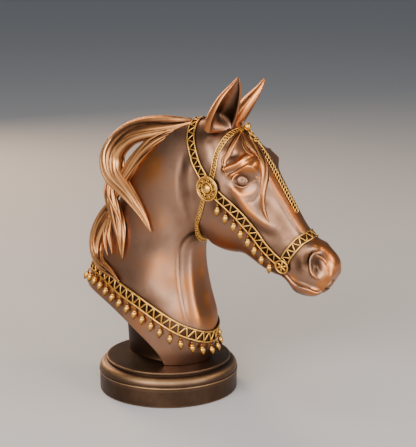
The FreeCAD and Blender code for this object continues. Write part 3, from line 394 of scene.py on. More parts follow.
# gilt brass, antiqued: bright gold on the ridges and brown wax in the recesses
antiqueGold = patina("gilt_brass_antiqued", [
    (0.0, "#140b04"), (0.34, "#553616"), (0.64, "#a9762f"), (1.0, "#ecb65f")], (0.26, 0.38), 5, 0.4,
    bumpDepth=0.02, wearNoise=0.3)
# near-black bronze of the post, dull
darkBronze = patina("cast_bronze_black_patina", [(0.0, "#150d08"), (0.5, "#38261a"), (1.0, "#5a3f2b")],
                    (0.42, 0.55), 20, 0.6)
# turned bronze plinth, brown-black with a painted gold-brown sheen on its edges
plinthBronze = patina("turned_bronze_brown_lacquer", [
    (0.0, "#120b07"), (0.35, "#3b2b21"), (0.7, "#6b5340"), (1.0, "#a8845e")], (0.4, 0.5), 22, 0.5)
# zinc-plated steel of the hidden rod, nut and washer: pale grey and satin
zincSteel = patina("steel_zinc_plated", [(0.0, "#8d9091"), (1.0, "#c3c6c8")], (0.3, 0.42), 8, 0.5)
# raw cast brass of the hidden bridge and sleeve: dull yellow
castBrass = patina("brass_raw_casting", [(0.0, "#6e5a30"), (1.0, "#b89a58")], (0.45, 0.6), 10, 0.8)


def feltMaterial():
    # pressed wool felt: black, matt, with short fibres that catch no highlight
    material = bpy.data.materials.new("wool_felt_pressed")
    material.use_nodes = True
    tree = material.node_tree
    shader = tree.nodes["Principled BSDF"]
    place = addNode(tree, "ShaderNodeTexCoord").outputs["Object"]
    fibre = addNode(tree, "ShaderNodeTexNoise", {"Scale": 1800.0, "Detail": 4.0},
                    {"Vector": place}).outputs["Fac"]
    tree.links.new(addRamp(tree, fibre, [(0.3, "#0b0b0b"), (0.7, "#1d1c1b")]), shader.inputs["Base Color"])
    shader.inputs["Roughness"].default_value = 0.95
    shader.inputs["Sheen Weight"].default_value = 0.3
    bump = addNode(tree, "ShaderNodeBump", {"Strength": 0.6, "Distance": 0.0002}, {"Height": fibre})
    tree.links.new(bump.outputs[0], shader.inputs["Normal"])
    return material


pressedFelt = feltMaterial()

# ---- head and neck: the sculpted form, one surface cut at the seam
def curvature(points):
    # distance of each point from the mean of its neighbours, along the normal: high on ridges
    left, right = np.roll(points, 2, 1), np.roll(points, -2, 1)
    down, up = np.roll(points, 2, 0), np.roll(points, -2, 0)
    down[:2], up[-2:] = points[:2], points[-2:]
    around = unit(np.cross(right - left, up - down))
    return -(((left + right + up + down) / 4 - points) * around).sum(-1)


def blurred(values, times):
    # each pass: half the value and a quarter of each neighbour, along both directions
    for _ in range(times):
        values = (np.roll(values, 1, 1) + np.roll(values, -1, 1) + values * 2) / 4
        padded = np.vstack([values[:1], values, values[-1:]])
        values = (padded[:-2] + padded[2:] + values * 2) / 4
    return values


# paths of the straps over the form, as (station, degrees)
cheekHub, mouthHub = (13.05, 88.0), (20.55, 110.0)
strapPaths = {
    "collar": [(1.80, 0), (1.95, 14), (2.20, 35), (2.30, 56), (2.30, 72), (2.38, 90), (2.36, 106),
               (2.25, 121), (2.12, 136), (2.02, 152), (1.90, 168), (1.86, 180)],
    "crown": [(11.3, 0), (11.3, 16), (11.3, 32), (11.4, 48), (11.7, 65), (12.2, 77), cheekHub],
    "cheek": [cheekHub, (14.25, 91), (15.2, 94.5), (16.15, 98), (17.1, 101), (18.05, 104.5), (19.0, 107.7),
              mouthHub],
    "nose": [mouthHub, (20.5, 96), (20.5, 84), (20.6, 62), (20.7, 40), (20.85, 20), (20.9, 0)],
    "brow": [cheekHub, (13.22, 72), (13.22, 60), (13.35, 44), (13.6, 26), (13.85, 10), (13.9, 0)],
    "throat": [cheekHub, (12.55, 102), (12.1, 115), (11.3, 130), (10.6, 142), (9.9, 155), (9.55, 168),
               (9.5, 180)],
}
# painted shade beside the straps: path, reach, depth
strapShade = [("collar", 6.5, 0.24), ("crown", 5.0, 0.26), ("cheek", 5.2, 0.3), ("nose", 5.2, 0.26),
        ("brow", 3.0, 0.15)]
# rubbed copper patches: centre (station, degrees), radius, strength; grey-brown ones are negative, and those
# under and beside the straps are painted shade
rubsAndShade = [
    # crest, throat edge and chest
    (8.6, 35, 17, 0.16), (8.9, 62, 12, 0.1), (6.0, 180, 9, 0.24), (7.6, 180, 9, 0.2), (4.2, 180, 10, 0.26),
    (5.0, 150, 12, 0.12), (3.2, 150, 12, 0.12), (6.6, 84, 20, 0.05), (4.4, 92, 14, 0.06), (2.6, 178, 12, 0.2),
    (1.6, 100, 10, 0.12), (5.6, 112, 9, 0.12), (3.9, 118, 9, 0.1), (4.0, 60, 12, 0.12), (2.6, 104, 14, -0.1),
    (3.6, 118, 12, -0.08),
    # jaw, brows and nose bridge
    (12.9, 135, 13, 0.04), (14.8, 140, 12, 0.08), (15.3, 40, 8, 0.34), (14.7, 58, 5, 0.2),
    (15.9, 73, 4.5, 0.14), (16.7, 80, 6, 0.1), (19.2, 8, 8, 0.3), (17.4, 8, 7, 0.22), (21.8, 8, 10, 0.3),
    (24.0, 12, 9, 0.3),
    # nostril and lips
    (23.8, 30, 6, 0.24), (25.2, 55, 7, 0.24), (24.6, 85, 5, 0.16), (24.3, 128, 5, 0.16), (22.0, 117, 4, 0.2),
    # flats of the face and temple, and painted shade on the cheek under the straps and beside the other
    # straps
    (18.8, 55, 10, -0.12), (17.6, 64, 8, -0.1), (12.0, 70, 10, -0.1), (12.2, 40, 9, -0.16),
    (12.9, 28, 7, -0.2), (13.9, 100, 8, -0.14), (15.6, 97, 7, -0.14), (11.0, 100, 7, -0.12),
    (21.7, 60, 6, -0.22), (21.9, 84, 6, -0.2), (14.3, 48, 3.6, -0.12), (9.7, 152, 7, -0.3),
    (12.3, 60, 8, -0.06), (22.6, 62, 9, -0.16), (20.6, 66, 9, -0.08), (20.4, 40, 8, -0.06),
    # upper nose and the side of the crest
    (18.2, 10, 9, 0.2), (20.2, 14, 8, 0.2), (8.2, 60, 12, 0.1),
]


def wearAndShadeMap(points, s, t):
    # 0 = dark wax and painted shade, 1 = rubbed metal: 0.48 + tanh of the curvature + rubbed patches and
    # their painted shade - painted shade at the straps
    bend = curvature(points)
    bend = blurred(bend, 2) + 1.5 * blurred(bend, 10)
    t = np.mod(t, 2 * np.pi)
    base = formPoint(s, np.where(t > np.pi, 2 * np.pi - t, t))
    wornAndShaded = 0.48 + np.where(bend < 0, np.tanh(bend * 1.7) * 0.34, np.tanh(bend * 2.8) * 0.3)
    for station, degrees, radius, strength in rubsAndShade:
        centre = formPoint(np.array(float(station)), np.radians(degrees))
        wornAndShaded = wornAndShaded + strength * np.exp(-(np.linalg.norm(base - centre, axis=-1) / radius)**2)
    # painted shade along each strap, where the strap shades the skin
    for key, reach, depth in strapShade:
        line = linePoints(strapPaths[key])
        near = np.all((base > line.min(0) - 12) & (base < line.max(0) + 12), axis=-1)
        if near.any():
            dist, _ = lineDistance(base[near], line)
            wornAndShaded[near] -= depth * np.exp(-(dist / reach)**4)
    return np.clip(wornAndShaded, 0.02, 0.98)


underside = [(-108, 96.5), (-90, 93), (-60, 85), (-32, 73), (-8, 58), (6, 46), (13, 36), (15, 28)]
plinthTop = 31.3


def cutHeight(x):
    # height of the sweeping cut under the neck; the plinth top further forward
    line = curveThrough(underside, 200)
    return np.maximum(np.interp(x, line[:, 0], line[:, 1], right=plinthTop), plinthTop)


def lowerStations(angles):
    # bisection for the station where the form crosses the cut
    low, high = np.full(angles.shape, -1.0), np.full(angles.shape, 5.0)
    for _ in range(30):
        middle = (low + high) / 2
        p = formPoint(middle, angles)
        under = p[:, 2] < cutHeight(p[:, 0])
        low, high = np.where(under, middle, low), np.where(under, high, middle)
    return high


skinDetail = {"neckRows": 250, "neckColumns": 360, "headRows": 290, "headColumns": 330, "wall": 4.0,
              "lipRows": 24, "lipDome": 2.6, "lipPart": 2.2}


def buildNeck():
    # from the cut over the plinth to the seam, with the cast wall showing at the lower edge
    d = skinDetail
    angles = np.linspace(0, 2 * np.pi, d["neckColumns"], endpoint=False)
    start = lowerStations(angles)
    share = np.linspace(0, 1, d["neckRows"])[:, None]
    s = start[None] + (seamStation - start[None]) * share
    t = np.broadcast_to(angles, s.shape)
    points, normals = skinFrame(s, t)
    wornAndShaded = wearAndShadeMap(points, s, t)
    # the lower edge turns in round the wall and runs up the inside for 0.9 of a station
    inner, innerNormal = points[0], normals[0]
    rows = [inner - innerNormal * 0.25, inner - innerNormal * 1.2, inner - innerNormal * (d["wall"] - 0.4)]
    deep, deepNormal = skinFrame(start + 0.9, angles)
    rows.append(inner * 0.98 + deep * 0.02 - innerNormal * d["wall"])
    rows.append(deep - deepNormal * d["wall"])
    lip = np.stack(rows[::-1])
    shell = Shell()
    shell.grid(np.vstack([lip, points]), np.vstack([np.full(lip.shape[:2], 0.08), wornAndShaded]))
    shell.object("neckSkin", bronzeSkin, "neck_casting", "bronze_skin")


def buildHead():
    d = skinDetail
    angles = np.linspace(0, 2 * np.pi, d["headColumns"], endpoint=False)
    last = len(sections) - 1.0
    stations = seamStation + (last - seamStation) * np.linspace(0, 1, d["headRows"])
    s, t = np.meshgrid(stations, angles, indexing="ij")
    points = skinPoint(s, t)
    wornAndShaded = wearAndShadeMap(points, s, t)
    # front of the lips: the last ring closes in a shallow dome, parted by the mouth
    ring, middle = points[-1], points[-1].mean(0)
    quarter = 80
    out = unit(np.cross(ring[quarter] - middle, ring[0] - middle))
    if out @ (middle - points[-20].mean(0)) < 0:
        out = -out
    rows = []
    for k in np.linspace(0, 1, d["lipRows"] + 2)[1:-1]:
        r = math.cos(k * math.pi / 2)
        flat = middle + (ring - middle) * r
        height = (flat - middle) @ unit(ring[0] - middle)
        part = -d["lipPart"] * np.exp(-(height + 0.8)**2)
        dome = d["lipDome"] * math.sin(k * math.pi / 2)
        rows.append(flat + out * (dome + part[:, None] * min(1, k * 3)))
    cap = np.stack(rows)
    shell = Shell()
    shell.grid(np.vstack([points, cap]), np.vstack([wornAndShaded, np.full(cap.shape[:2], 0.55)]), poleEnd=True)
    shell.object("headSkin", bronzeSkin, "head_casting", "bronze_skin")


buildNeck()
buildHead()
print("skin done")


# ---- plinth and post
plinth = {"bore": 4.3, "recessTop": 12.1, "foot": 0.3, "bandRadius": 65.0, "bandTop": 17.7, "edge": 0.8,
          "torusMiddle": (58.6, 21.1), "torusRadii": (6.35, 6.3), "top": plinthTop, "columns": 200,
          "bead": [(65.0, 17.7, 0.45), (65.25, 17.9, 0.7), (65.55, 18.2, 0.95), (65.6, 18.6, 0.98),
                   (65.45, 19.0, 0.8), (65.1, 19.3, 0.45), (64.85, 19.5, 0.25)],
          "cove": [(59.2, 27.6, 0.4), (58.7, 27.8, 0.32), (58.4, 28.1, 0.25), (58.3, 28.5, 0.22),
                   (58.35, 28.9, 0.28), (58.45, 29.2, 0.38), (58.5, 29.6, 0.5), (58.5, 30.7, 0.6),
                   (58.4, 31.0, 0.85), (58.1, 31.2, 0.85), (57.7, 31.3, 0.6)]}


def buildPlinth():
    # turned outline of (radius, height, wear): foot, band, bead, bulging torus (arc) with a painted highlight
    # across it, cove, top disc, bore
    d = plinth
    outline = [(d["bore"], d["foot"], 0.2), (40, d["foot"], 0.2), (62, d["foot"], 0.3),
               (63.6, d["foot"], 0.5)]
    for a in np.radians(np.linspace(-90, 0, 6)):
        outline.append((d["bandRadius"] - d["edge"] + d["edge"] * math.cos(a),
                        d["foot"] + d["edge"] + d["edge"] * math.sin(a), 0.72))
    for z in np.linspace(2, d["bandTop"] - 0.3, 12):
        outline.append((d["bandRadius"], z, 0.42 if z < 15 else 0.5))
    outline += d["bead"]
    (x, z), (across, tall) = d["torusMiddle"], d["torusRadii"]
    # the torus's wear peaks 42 degrees up its arc: a painted highlight
    for a in np.linspace(-12, 80, 22):
        outline.append((x + across * math.cos(math.radians(a)), z + tall * math.sin(math.radians(a)),
                        0.45 + 0.5 * math.exp(-((a - 42) / 26)**2)))
    outline += d["cove"]
    outline += [(r, d["top"], 0.42) for r in (56, 50, 42, 30, 18, d["bore"])]
    outline.append((d["bore"], d["recessTop"], 0.2))
    outline = np.array(outline[::-1], float)
    grid = turnedGrid(outline[:, :2], (0, 0, 0), (0, 0, 1), d["columns"])
    wearAndShading = outline[:, 2:] * np.ones(d["columns"])
    shell = Shell()
    shell.grid(np.vstack([grid, grid[:1]]), np.vstack([wearAndShading, wearAndShading[:1]]), flip=True)
    shell.object("plinthTurned", plinthBronze, "plinth", "plinth_bronze")


# the post's rear edge as (z, x), its front x and its half width
post = {"back": [(31.3, -42.4), (45, -43.0), (58, -44.0), (68, -48.5), (80, -55.0), (94, -62.0)],
        "front": 29.0, "width": 28.0, "overlap": 2.2, "rows": 60, "columns": 120}


def buildPost():
    # teardrop outline: share = (1 - cos f) / 2 from back to front, y = W sin f (0.48 + 0.52 share^0.8),
    # with a small flare at the foot
    d = post
    f = np.linspace(0, 2 * np.pi, d["columns"], endpoint=False)
    share = (1 - np.cos(f)) / 2
    back = np.array(d["back"])
    rows, wearAndShading = [], []
    for k in np.linspace(0, 1, d["rows"]):
        x = back[0, 1] + (d["front"] - back[0, 1]) * share
        z = plinthTop + (cutHeight(x) + d["overlap"] - plinthTop) * k
        rear = np.interp(z, back[:, 0], back[:, 1])
        x = rear + (d["front"] - rear) * share
        flare = 1 + 0.05 * np.exp(-(z - plinthTop) / 2.0)
        y = -d["width"] * np.sin(f) * (0.48 + 0.52 * share**0.8) * flare
        rows.append(np.stack([x, y, z], -1))
        # lighter at the foot, and darker towards the top: painted shade under the neck
        wearAndShading.append(0.42 + 0.2 * np.exp(-(z - plinthTop) / 3.0) - 0.3 * k**2)
    shell = Shell()
    shell.grid(np.stack(rows), np.stack(wearAndShading), poleStart=True, poleEnd=True, flip=True)
    shell.object("postCast", darkBronze, "support_post", "dark_bronze")


# ---- ears: rows of middle x, y, z, half width and half depth, from the foot to the tip;
# right and left give the direction that each ear opens in
ear = {"rows": [(61, -17, 250, 13.0, 10.2), (64.5, -18, 259, 13.8, 10.8), (69.5, -19.3, 269, 13.3, 9.4),
                (74.6, -20.4, 279, 10.9, 7.2), (79.8, -21, 288.5, 6.8, 4.4), (82.4, -21.2, 295.5, 2.8, 2.1),
                (83.2, -21.3, 298.2, 0.7, 0.6)], "right": (0.88, -0.47), "left": (0.96, -0.27), "lift": 0.05,
       "rim": 1.5, "wrap": 24, "count": 90, "nod": 6.5, "sink": 1.5}


def earShell(opening):
    # closed crescent: outside x = a cos f, y = -b sin f; hollow x = (a-w) cos g, y = rim - depth sin g
    d = ear
    q = curveThrough(d["rows"], d["count"])
    u = np.linspace(0, 1, d["count"])[:, None]
    middle, a, b = q[:, :3], q[:, 3:4], q[:, 4:5]
    run = unit(np.gradient(middle, axis=0))
    across = unit(np.cross(np.array((*opening, d["lift"])), run))
    front = np.cross(run, across)
    wrap = math.radians(d["wrap"])
    f = np.radians(np.linspace(-d["wrap"], 180 + d["wrap"], 56))[None]
    outX, outY = a * np.cos(f), -b * np.sin(f)
    g = np.radians(np.linspace(180, 0, 46)[1:-1])[None]
    rimY = b * math.sin(wrap)
    w = np.minimum(d["rim"], a * 0.45)
    openness = np.clip((u - 0.03) / 0.2, 0, 1)
    openness = openness * openness * (3 - 2 * openness)
    hollow = rimY - (rimY + b - w) * np.sin(g)**0.8 * (0.96 + 0.04 * np.cos(6 * g))
    closed = rimY - b * 0.1 * np.sin(g)
    inX = (a * math.cos(wrap) - w) * np.cos(g)
    fold = 0.5 * np.sin(g) * np.cos(5 * g + 3 * u) * openness * (1 - u)
    inY = closed * (1 - openness) + hollow * openness + fold
    x, y = np.hstack([outX, inX]), np.hstack([outY, inY])
    grid = middle[:, None] + across[:, None] * x[..., None] + front[:, None] * y[..., None]
    wearOut = 0.56 + 0.4 * np.abs(np.cos(f))**8 + 0.1 * np.sin(3 * f + 4 * u) * (1 - u)
    # inside the cup: painted shade along both rims, towards the middle and at the bottom of the cup
    cupShade = np.exp(-((np.degrees(g) - 150) / 26)**2) + np.exp(-((np.degrees(g) - 30) / 22)**2)
    cupShade = cupShade * (1 - 0.6 * u) + 0.8 * np.exp(-((u - 0.2) / 0.16)**2)
    insideWearAndShade = 0.62 - (0.08 * np.sin(g) + 0.32 * cupShade) * openness
    shell = Shell()
    shell.grid(grid, np.clip(np.hstack([wearOut, insideWearAndShade]), 0.03, 0.97), poleStart=True, poleEnd=True)
    return shell


def buildEars():
    # the left ear is the mirrored shell, nodded forward about its foot and set a little lower
    d = ear
    earShell(d["right"]).object("earRight", bronzeSkin, "right_ear", "bronze_skin")
    left = earShell(d["left"]).mirrored()
    foot = np.array(d["rows"][0][:3]) * (1, -1, 1)
    c, k = math.cos(math.radians(d["nod"])), math.sin(math.radians(d["nod"]))
    for part in left.points:
        x, y, z = np.moveaxis(part - foot, -1, 0)
        part[:] = foot + np.stack([x * c + z * k, y, z * c - x * k - d["sink"]], -1)
    left.object("earLeft", bronzeSkin, "left_ear", "bronze_skin")


# ---- eyes: carved ball in the socket with two lids; lids as (forward, up) from the ball's middle
eye = {"station": 15.6, "degrees": 60.5, "radius": 8.8, "recess": 1.5, "socket": 5.6, "carve": 0.3,
       "upper": [(-9.6, 0.2), (-7.2, 3.8), (-2.6, 6.4), (2.0, 6.9), (7.0, 4.9), (11.0, 1.2), (14.0, -2.2)],
       "lower": [(-9.6, 0.2), (-7.6, -2.6), (-4.9, -5.0), (-0.4, -6.6), (4.8, -5.4), (9.5, -3.2),
                 (14.0, -2.2)], "facing": (0.42, -0.86, 0.24), "lidPoints": 70}


def buildEyes():
    # ball of radius R - carve e^-(angle / 13)^2; the lids lie on the ball or the socket, whichever is higher
    d = eye
    p = skinPoint([d["station"]], np.radians([d["degrees"]]))
    n = unit(np.array(d["facing"]))
    forward = unit(np.cross(np.array((0, 0, 1.0)), n) * -1)
    forward = unit(forward * 0.96 + np.array((0, 0, -0.2)))
    forward = unit(forward - n * (forward @ n))
    if forward[0] < 0:
        forward = -forward
    up = unit(np.cross(n, forward))
    if up[2] < 0:
        up = -up
    centre = p[0] + n * (d["socket"] - 1.0 - d["radius"] - d["recess"])
    ball = Shell()
    psi = np.radians(np.concatenate([np.linspace(0.5, 40, 60), np.linspace(42, 130, 40)]))
    carve = -d["carve"] * np.exp(-(np.degrees(psi) / 13)**2)
    r = d["radius"] + carve
    look = unit(n - forward * 0.05)
    grid = turnedGrid(np.stack([r * np.sin(psi), r * np.cos(psi)], -1), centre, look, 64)
    # darker in the carved pupil, and painted shade towards the back of the ball, where the lids cover it
    rim = np.clip((np.degrees(psi) - 28) / 40, 0, 1)
    wornAndShaded = (0.5 + 0.7 * carve - 0.3 * rim)[:, None] * np.ones(64)
    ball.grid(grid, np.clip(wornAndShaded, 0.03, 1), poleStart=True, poleEnd=True, flip=True)
    for key, thick, lift in (("upper", 1.6, 0.9), ("lower", 1.05, 0.4)):
        hv = curveThrough(d[key], d["lidPoints"])
        rr = np.hypot(hv[:, 0], hv[:, 1])
        sphere = np.sqrt(np.maximum((d["radius"] + 0.4)**2 - rr**2, 1.0))
        skin = d["radius"] + d["recess"] - d["socket"] * np.exp(-(rr / 7.0)**2) - 0.6
        w = np.maximum(sphere, skin) + lift
        path = centre + forward * hv[:, :1] + up * hv[:, 1:] + n * w[:, None]
        taper = np.sin(np.linspace(0.12, math.pi - 0.12, d["lidPoints"]))**0.6
        tube = tubeGrid(path, np.broadcast_to(n, path.shape), taper * thick * 0.9, taper * thick * 0.8, 14)
        ball.grid(tube, 0.6 + 0.2 * (key == "upper"), poleStart=True, poleEnd=True, flip=True)
    ball.mirror()
    ball.object("eyes", bronzeSkin, "head_casting", "bronze_skin")


# ---- hair: grooved locks with finer strands laid over them
strandPoints = 70


def lockInto(shell, rows, facing, seed, depth, columns=150, count=170, strands=9, strandRadius=1.9,
             twist=0.9, waves=((4, 0.8), (7, 0.55), (13, 0.3), (25, 0.1))):
    # rows of (x, y, z, width, thickness); the ellipse grows and shrinks by the sum over the waves of
    # weight (|sin((n f + phase(u)) / 2)|^0.7 - 0.64), and its ends taper to points
    rng = np.random.default_rng(seed)
    q = curveThrough(rows, count)
    u = np.linspace(0, 1, count)
    path, half, thick = q[:, :3], np.maximum(q[:, 3], 0.3) / 2, np.maximum(q[:, 4], 0.3) / 2
    facing = np.asarray(facing, float)
    facing = curveThrough(facing, count) if facing.ndim > 1 else np.broadcast_to(facing, path.shape)
    run = unit(np.gradient(path, axis=0))
    face = unit(facing - run * (run * facing).sum(-1, keepdims=True))
    side = np.cross(run, face)
    f = np.linspace(0, 2 * np.pi, columns, endpoint=False)
    groove = np.zeros((count, columns))
    for number, weight in waves:
        phase = (rng.uniform(0, 6.28) + number * twist * u
                 + 1.5 * np.sin(2 * np.pi * (rng.uniform(0.5, 1.2) * u + rng.uniform(0, 1))))
        groove += weight * (np.abs(np.sin((number * f[None] + phase[:, None]) / 2))**0.7 - 0.64)
    ends = np.clip(np.minimum(u * 14, (1 - u) * 14), 0, 1)[:, None]
    room = np.minimum(thick, half)[:, None]
    cut = groove * depth * np.minimum(1, room / 2.2) * ends
    cosine, sine = np.cos(f)[None], np.sin(f)[None]
    flat = np.sign(sine) * np.abs(sine)**0.9
    grid = (path[:, None] + side[:, None] * ((half[:, None] + cut) * cosine)[..., None]
            + face[:, None] * ((thick[:, None] + cut * 1.3) * flat)[..., None])
    wornAndShaded = np.clip(0.46 + groove * 0.6 + 0.12 * np.abs(cosine)**4, 0.04, 0.95)
    shell.grid(grid, wornAndShaded, poleStart=True, poleEnd=True, flip=True)
    for k in range(strands):
        start, stop = rng.uniform(0.0, 0.3), rng.uniform(0.75, 1.0)
        alpha = -0.85 + 1.7 * (k + 0.5) / strands
        sway = alpha + 0.34 * np.sin(2 * np.pi * (u * rng.uniform(0.5, 1.1) + rng.uniform(0, 1)))
        sway = np.clip(sway, -0.93, 0.93)
        front = 1 if k % 4 else -1
        bulge = np.sqrt(np.maximum(1 - np.minimum(np.abs(sway), 1)**2, 0.04))
        place = path + side * (half * sway)[:, None] + face * (front * thick * bulge * 0.96)[:, None]
        pick = np.linspace(start, stop, strandPoints)
        strand = np.stack([np.interp(pick, u, place[:, i]) for i in range(3)], -1)
        upper = np.stack([np.interp(pick, u, face[:, i]) for i in range(3)], -1)
        swell = np.sin(np.linspace(0.05, math.pi - 0.05, strandPoints))**0.7
        local = np.interp(pick, u, np.minimum(half, thick * 1.4))
        radius = np.minimum(strandRadius, local * 0.4) * swell + 0.1
        tube = tubeGrid(strand, upper, radius, radius * 0.55, 12)
        level = 0.5 + 0.16 * rng.uniform(-1, 1)
        wornAndShaded = np.clip(level + 0.26 * np.sin(np.linspace(0, 2 * np.pi, 12, endpoint=False)), 0.1, 1)
        shell.grid(tube, wornAndShaded[None] * np.ones((strandPoints, 1)), poleStart=True, poleEnd=True, flip=True)


# mane locks as (x, y, z, width, thickness), from root to tip
mane = {
    "loop": [(29, -7, 255.5, 6, 3), (14, -8, 252.5, 14, 6), (-2, -8, 249.5, 20, 8), (-18, -8, 246, 22.5, 9),
             (-34.5, -7, 239.5, 23, 10), (-47.5, -7, 229, 23, 10.5), (-54, -8, 216.5, 22.5, 10.5),
             (-50.5, -12, 203, 19, 9.5), (-40, -17, 194, 14.5, 7.5), (-26.5, -22.5, 184.5, 10.5, 6),
             (-14.5, -26.5, 174, 7.5, 4.6), (-6, -28.6, 164, 4.4, 3.2), (-0.8, -29.2, 154.5, 1, 1)],
    "crest": [(16, -11, 247, 5, 3.5), (2, -12.5, 241, 10, 5.5), (-11, -13, 232, 13, 6.5),
              (-23, -12.5, 220, 13, 7), (-33, -12.5, 207, 13, 7), (-42, -12.5, 192, 10, 6.5),
              (-48, -13, 178, 4, 3)],
    "middle": [(-53, -12, 198, 9, 4), (-53.5, -14, 185, 13, 6.5), (-47.5, -17, 171, 14, 7),
               (-40.5, -21, 157, 12, 6.5), (-35.5, -24.5, 144, 8, 5), (-33, -27.5, 126, 1.2, 1.2)],
    "lower": [(-50, -12, 176, 8, 5), (-59, -11, 164, 14, 6.5), (-68.5, -9, 149, 16, 8),
              (-73.5, -8.5, 133, 16, 8.5), (-70, -12, 120, 13.5, 7.5), (-60, -20, 113.5, 11, 6),
              (-47, -27, 110.5, 7.5, 4.5), (-34, -32, 105, 1.2, 1.2)],
    "wispA": [(-50, -17, 163, 3, 2.5), (-52.5, -18.5, 149, 4.2, 3), (-50, -21, 138, 3.2, 2.5),
              (-46.5, -23.5, 128, 0.8, 0.8)],
    "wispB": [(-55, -15, 160, 3, 2.5), (-58, -16, 147, 4, 2.8), (-57, -18.5, 135, 3, 2.4),
              (-53, -21, 125, 0.8, 0.8)],
}
# for each lock: its CAD node, the way its broad side faces, strands, groove depth, points along it
maneLocks = {
    "loop": ("mane_loop_lock", (0.1, -0.85, 0.5), 7, 1.25, 260),
    "crest": ("mane_crest_lock", (-0.2, -1, 0.4), 3, 0.9, 170),
    "middle": ("mane_middle_lock", (-0.1, -1, 0.1), 4, 1.0, 170),
    "lower": ("mane_lower_lock", (-0.3, -1, 0), 4, 1.1, 170),
}


def buildMane():
    for key, (node, facing, strands, depth, count) in maneLocks.items():
        shell = Shell()
        lockInto(shell, mane[key], facing, len(key) * 5 + strands, depth, strands=strands, count=count)
        shell.object(key + "Lock", bronzeHair, node, "bronze_hair")
    shell = Shell()
    for key in ("wispA", "wispB"):
        lockInto(shell, mane[key], (0, -1, 0), 11, 0.3, 60, 80, 2, 0.7)
    shell.object("maneWisps", bronzeHair, "mane_wisps", "bronze_hair")


# locks of the forelock as (station, degrees, width, thickness)
forelock = {
    "side": [(13.95, 12, 2.5, 1.6), (14.0, 20, 5, 2.8), (14.0, 38, 6.5, 3.4), (13.88, 53, 6, 3.2),
             (13.9, 61, 4.6, 2.6), (14.1, 67, 2.6, 1.8), (14.3, 70, 0.8, 0.8)],
    "front": [(14.5, 5, 3, 1.6), (15.2, 9, 6, 3), (15.85, 15, 8, 4), (16.45, 23, 8.6, 4.4), (17.0, 33, 7, 4),
              (17.3, 47, 5.4, 3.4), (17.62, 60, 4.6, 3.0), (17.95, 67, 3.8, 2.4), (18.4, 70, 0.8, 0.8)],
    "dark": [(14.15, 12, 3, 1.6), (14.85, 19, 5, 2.8), (15.65, 21, 5, 2.8), (16.2, 26, 3.2, 2),
             (16.6, 33, 0.8, 0.8)],
    "inner": [(14.1, 15, 2, 1.2), (14.6, 24, 4, 2), (15.1, 29, 4, 2), (15.6, 30, 0.8, 0.8)],
}


def skinLock(shell, rows, seed, depth, strands):
    # a lock that lies on the skin: rows of (station, degrees, width, thickness)
    q = curveThrough(rows, 40)
    p, n = skinFrame(q[:, 0], np.radians(q[:, 1]))
    place = p + n * (np.maximum(q[:, 3:4], 0.6) * 0.22)
    full = np.hstack([place, np.maximum(q[:, 2:4], 0.6)])
    lockInto(shell, full, n, seed, depth, 90, 120, strands, 1.3, 0.3, ((4, 0.7), (7, 0.4), (13, 0.16)))


# for each forelock piece: its CAD node and its locks with seed, groove depth and strands
forelockPieces = {
    "forelockFront": ("forelock_front", (("front", 3, 0.6, 0), ("dark", 5, 0.5, 1))),
    "forelockSide": ("forelock_side", (("side", 4, 0.55, 0), ("inner", 6, 0.4, 0))),
}


def buildForelock():
    for name, (node, locks) in forelockPieces.items():
        shell = Shell()
        for key, seed, depth, strands in locks:
            skinLock(shell, forelock[key], seed, depth, strands)
        shell.object(name, bronzeHair, node, "bronze_hair")


# ---- straps: two rails and a zigzag of bars that follow the skin
straps = {
    "collar": {"width": 11.5, "rail": 1.05, "bar": 0.85, "pitch": 8.6},
    "crown": {"width": 8.6, "rail": 0.8, "bar": 0.6, "pitch": 8.0},
    "cheek": {"width": 9.0, "rail": 0.8, "bar": 0.6, "pitch": 8.4},
    "nose": {"width": 9.0, "rail": 0.8, "bar": 0.6, "pitch": 7.6},
    "brow": {"width": 5.4, "rail": 0.5, "bar": 0.5, "pitch": 3.0},
    "throat": {"width": 4.8, "rail": 0.48, "bar": 0.45, "pitch": 3.0},
}
strapStep, ropePitch = 0.55, 1.5
# wear round a rail and round a bar, from one side over the top to the underside
railWear = np.clip(0.55 + 0.45 * np.array([0.2, 0.7, 1, 0.7, 0.2, -0.6, -1, -1, -0.6]), 0, 1)
barWear = np.clip(0.5 + 0.4 * np.array([0.2, 0.8, 1, 0.8, 0.2, -0.7, -1, -0.7]), 0, 1)


def evenPath(stations, step):
    # resamples a (station, degrees) path at even steps along the form
    fine = curveThrough(stations, 400)
    p = formPoint(fine[:, 0], np.radians(fine[:, 1]))
    runs = np.concatenate([[0], np.cumsum(np.linalg.norm(np.diff(p, axis=0), axis=-1))])
    count = max(int(round(runs[-1] / step)), 4) + 1
    goals = np.linspace(0, runs[-1], count)
    return np.stack([np.interp(goals, runs, fine[:, 0]), np.interp(goals, runs, fine[:, 1])], -1), runs[-1]


def besidePath(q, offset):
    # (station, angle) pairs that lie a distance across the path, from the form's own directions
    s, t = q[:, 0], np.radians(q[:, 1])
    e = 0.02
    p = formPoint(s, t)
    ds = (formPoint(s + e, t) - formPoint(s - e, t)) / (2 * e)
    dt = (formPoint(s, t + e) - formPoint(s, t - e)) / (2 * e)
    n = formNormal(s, t)
    run = unit(np.gradient(p, axis=0))
    cross = unit(np.cross(n, run))
    aa, bb, ab = (ds * ds).sum(-1), (dt * dt).sum(-1), (ds * dt).sum(-1)
    ca, cb = (cross * ds).sum(-1), (cross * dt).sum(-1)
    det = aa * bb - ab * ab
    return s + offset * (ca * bb - cb * ab) / det, t + offset * (cb * aa - ca * ab) / det


def laidLine(s, t, lift, smooth=6):
    # a line on the skin: form point + n (lift + height of the sculpting there); small hollows are
    # bridged by blurring the highest nearby height
    rise = sculpt(s, t)
    wide = rise.copy()
    for k in range(1, 4):
        wide = np.maximum(wide, np.maximum(np.roll(rise, k), np.roll(rise, -k)))
    for _ in range(smooth):
        wide[1:-1] = (wide[:-2] + wide[2:] + 2 * wide[1:-1]) / 4
    n = formNormal(s, t)
    return formPoint(s, t) + n * (np.maximum(wide, rise) + lift)[:, None], n


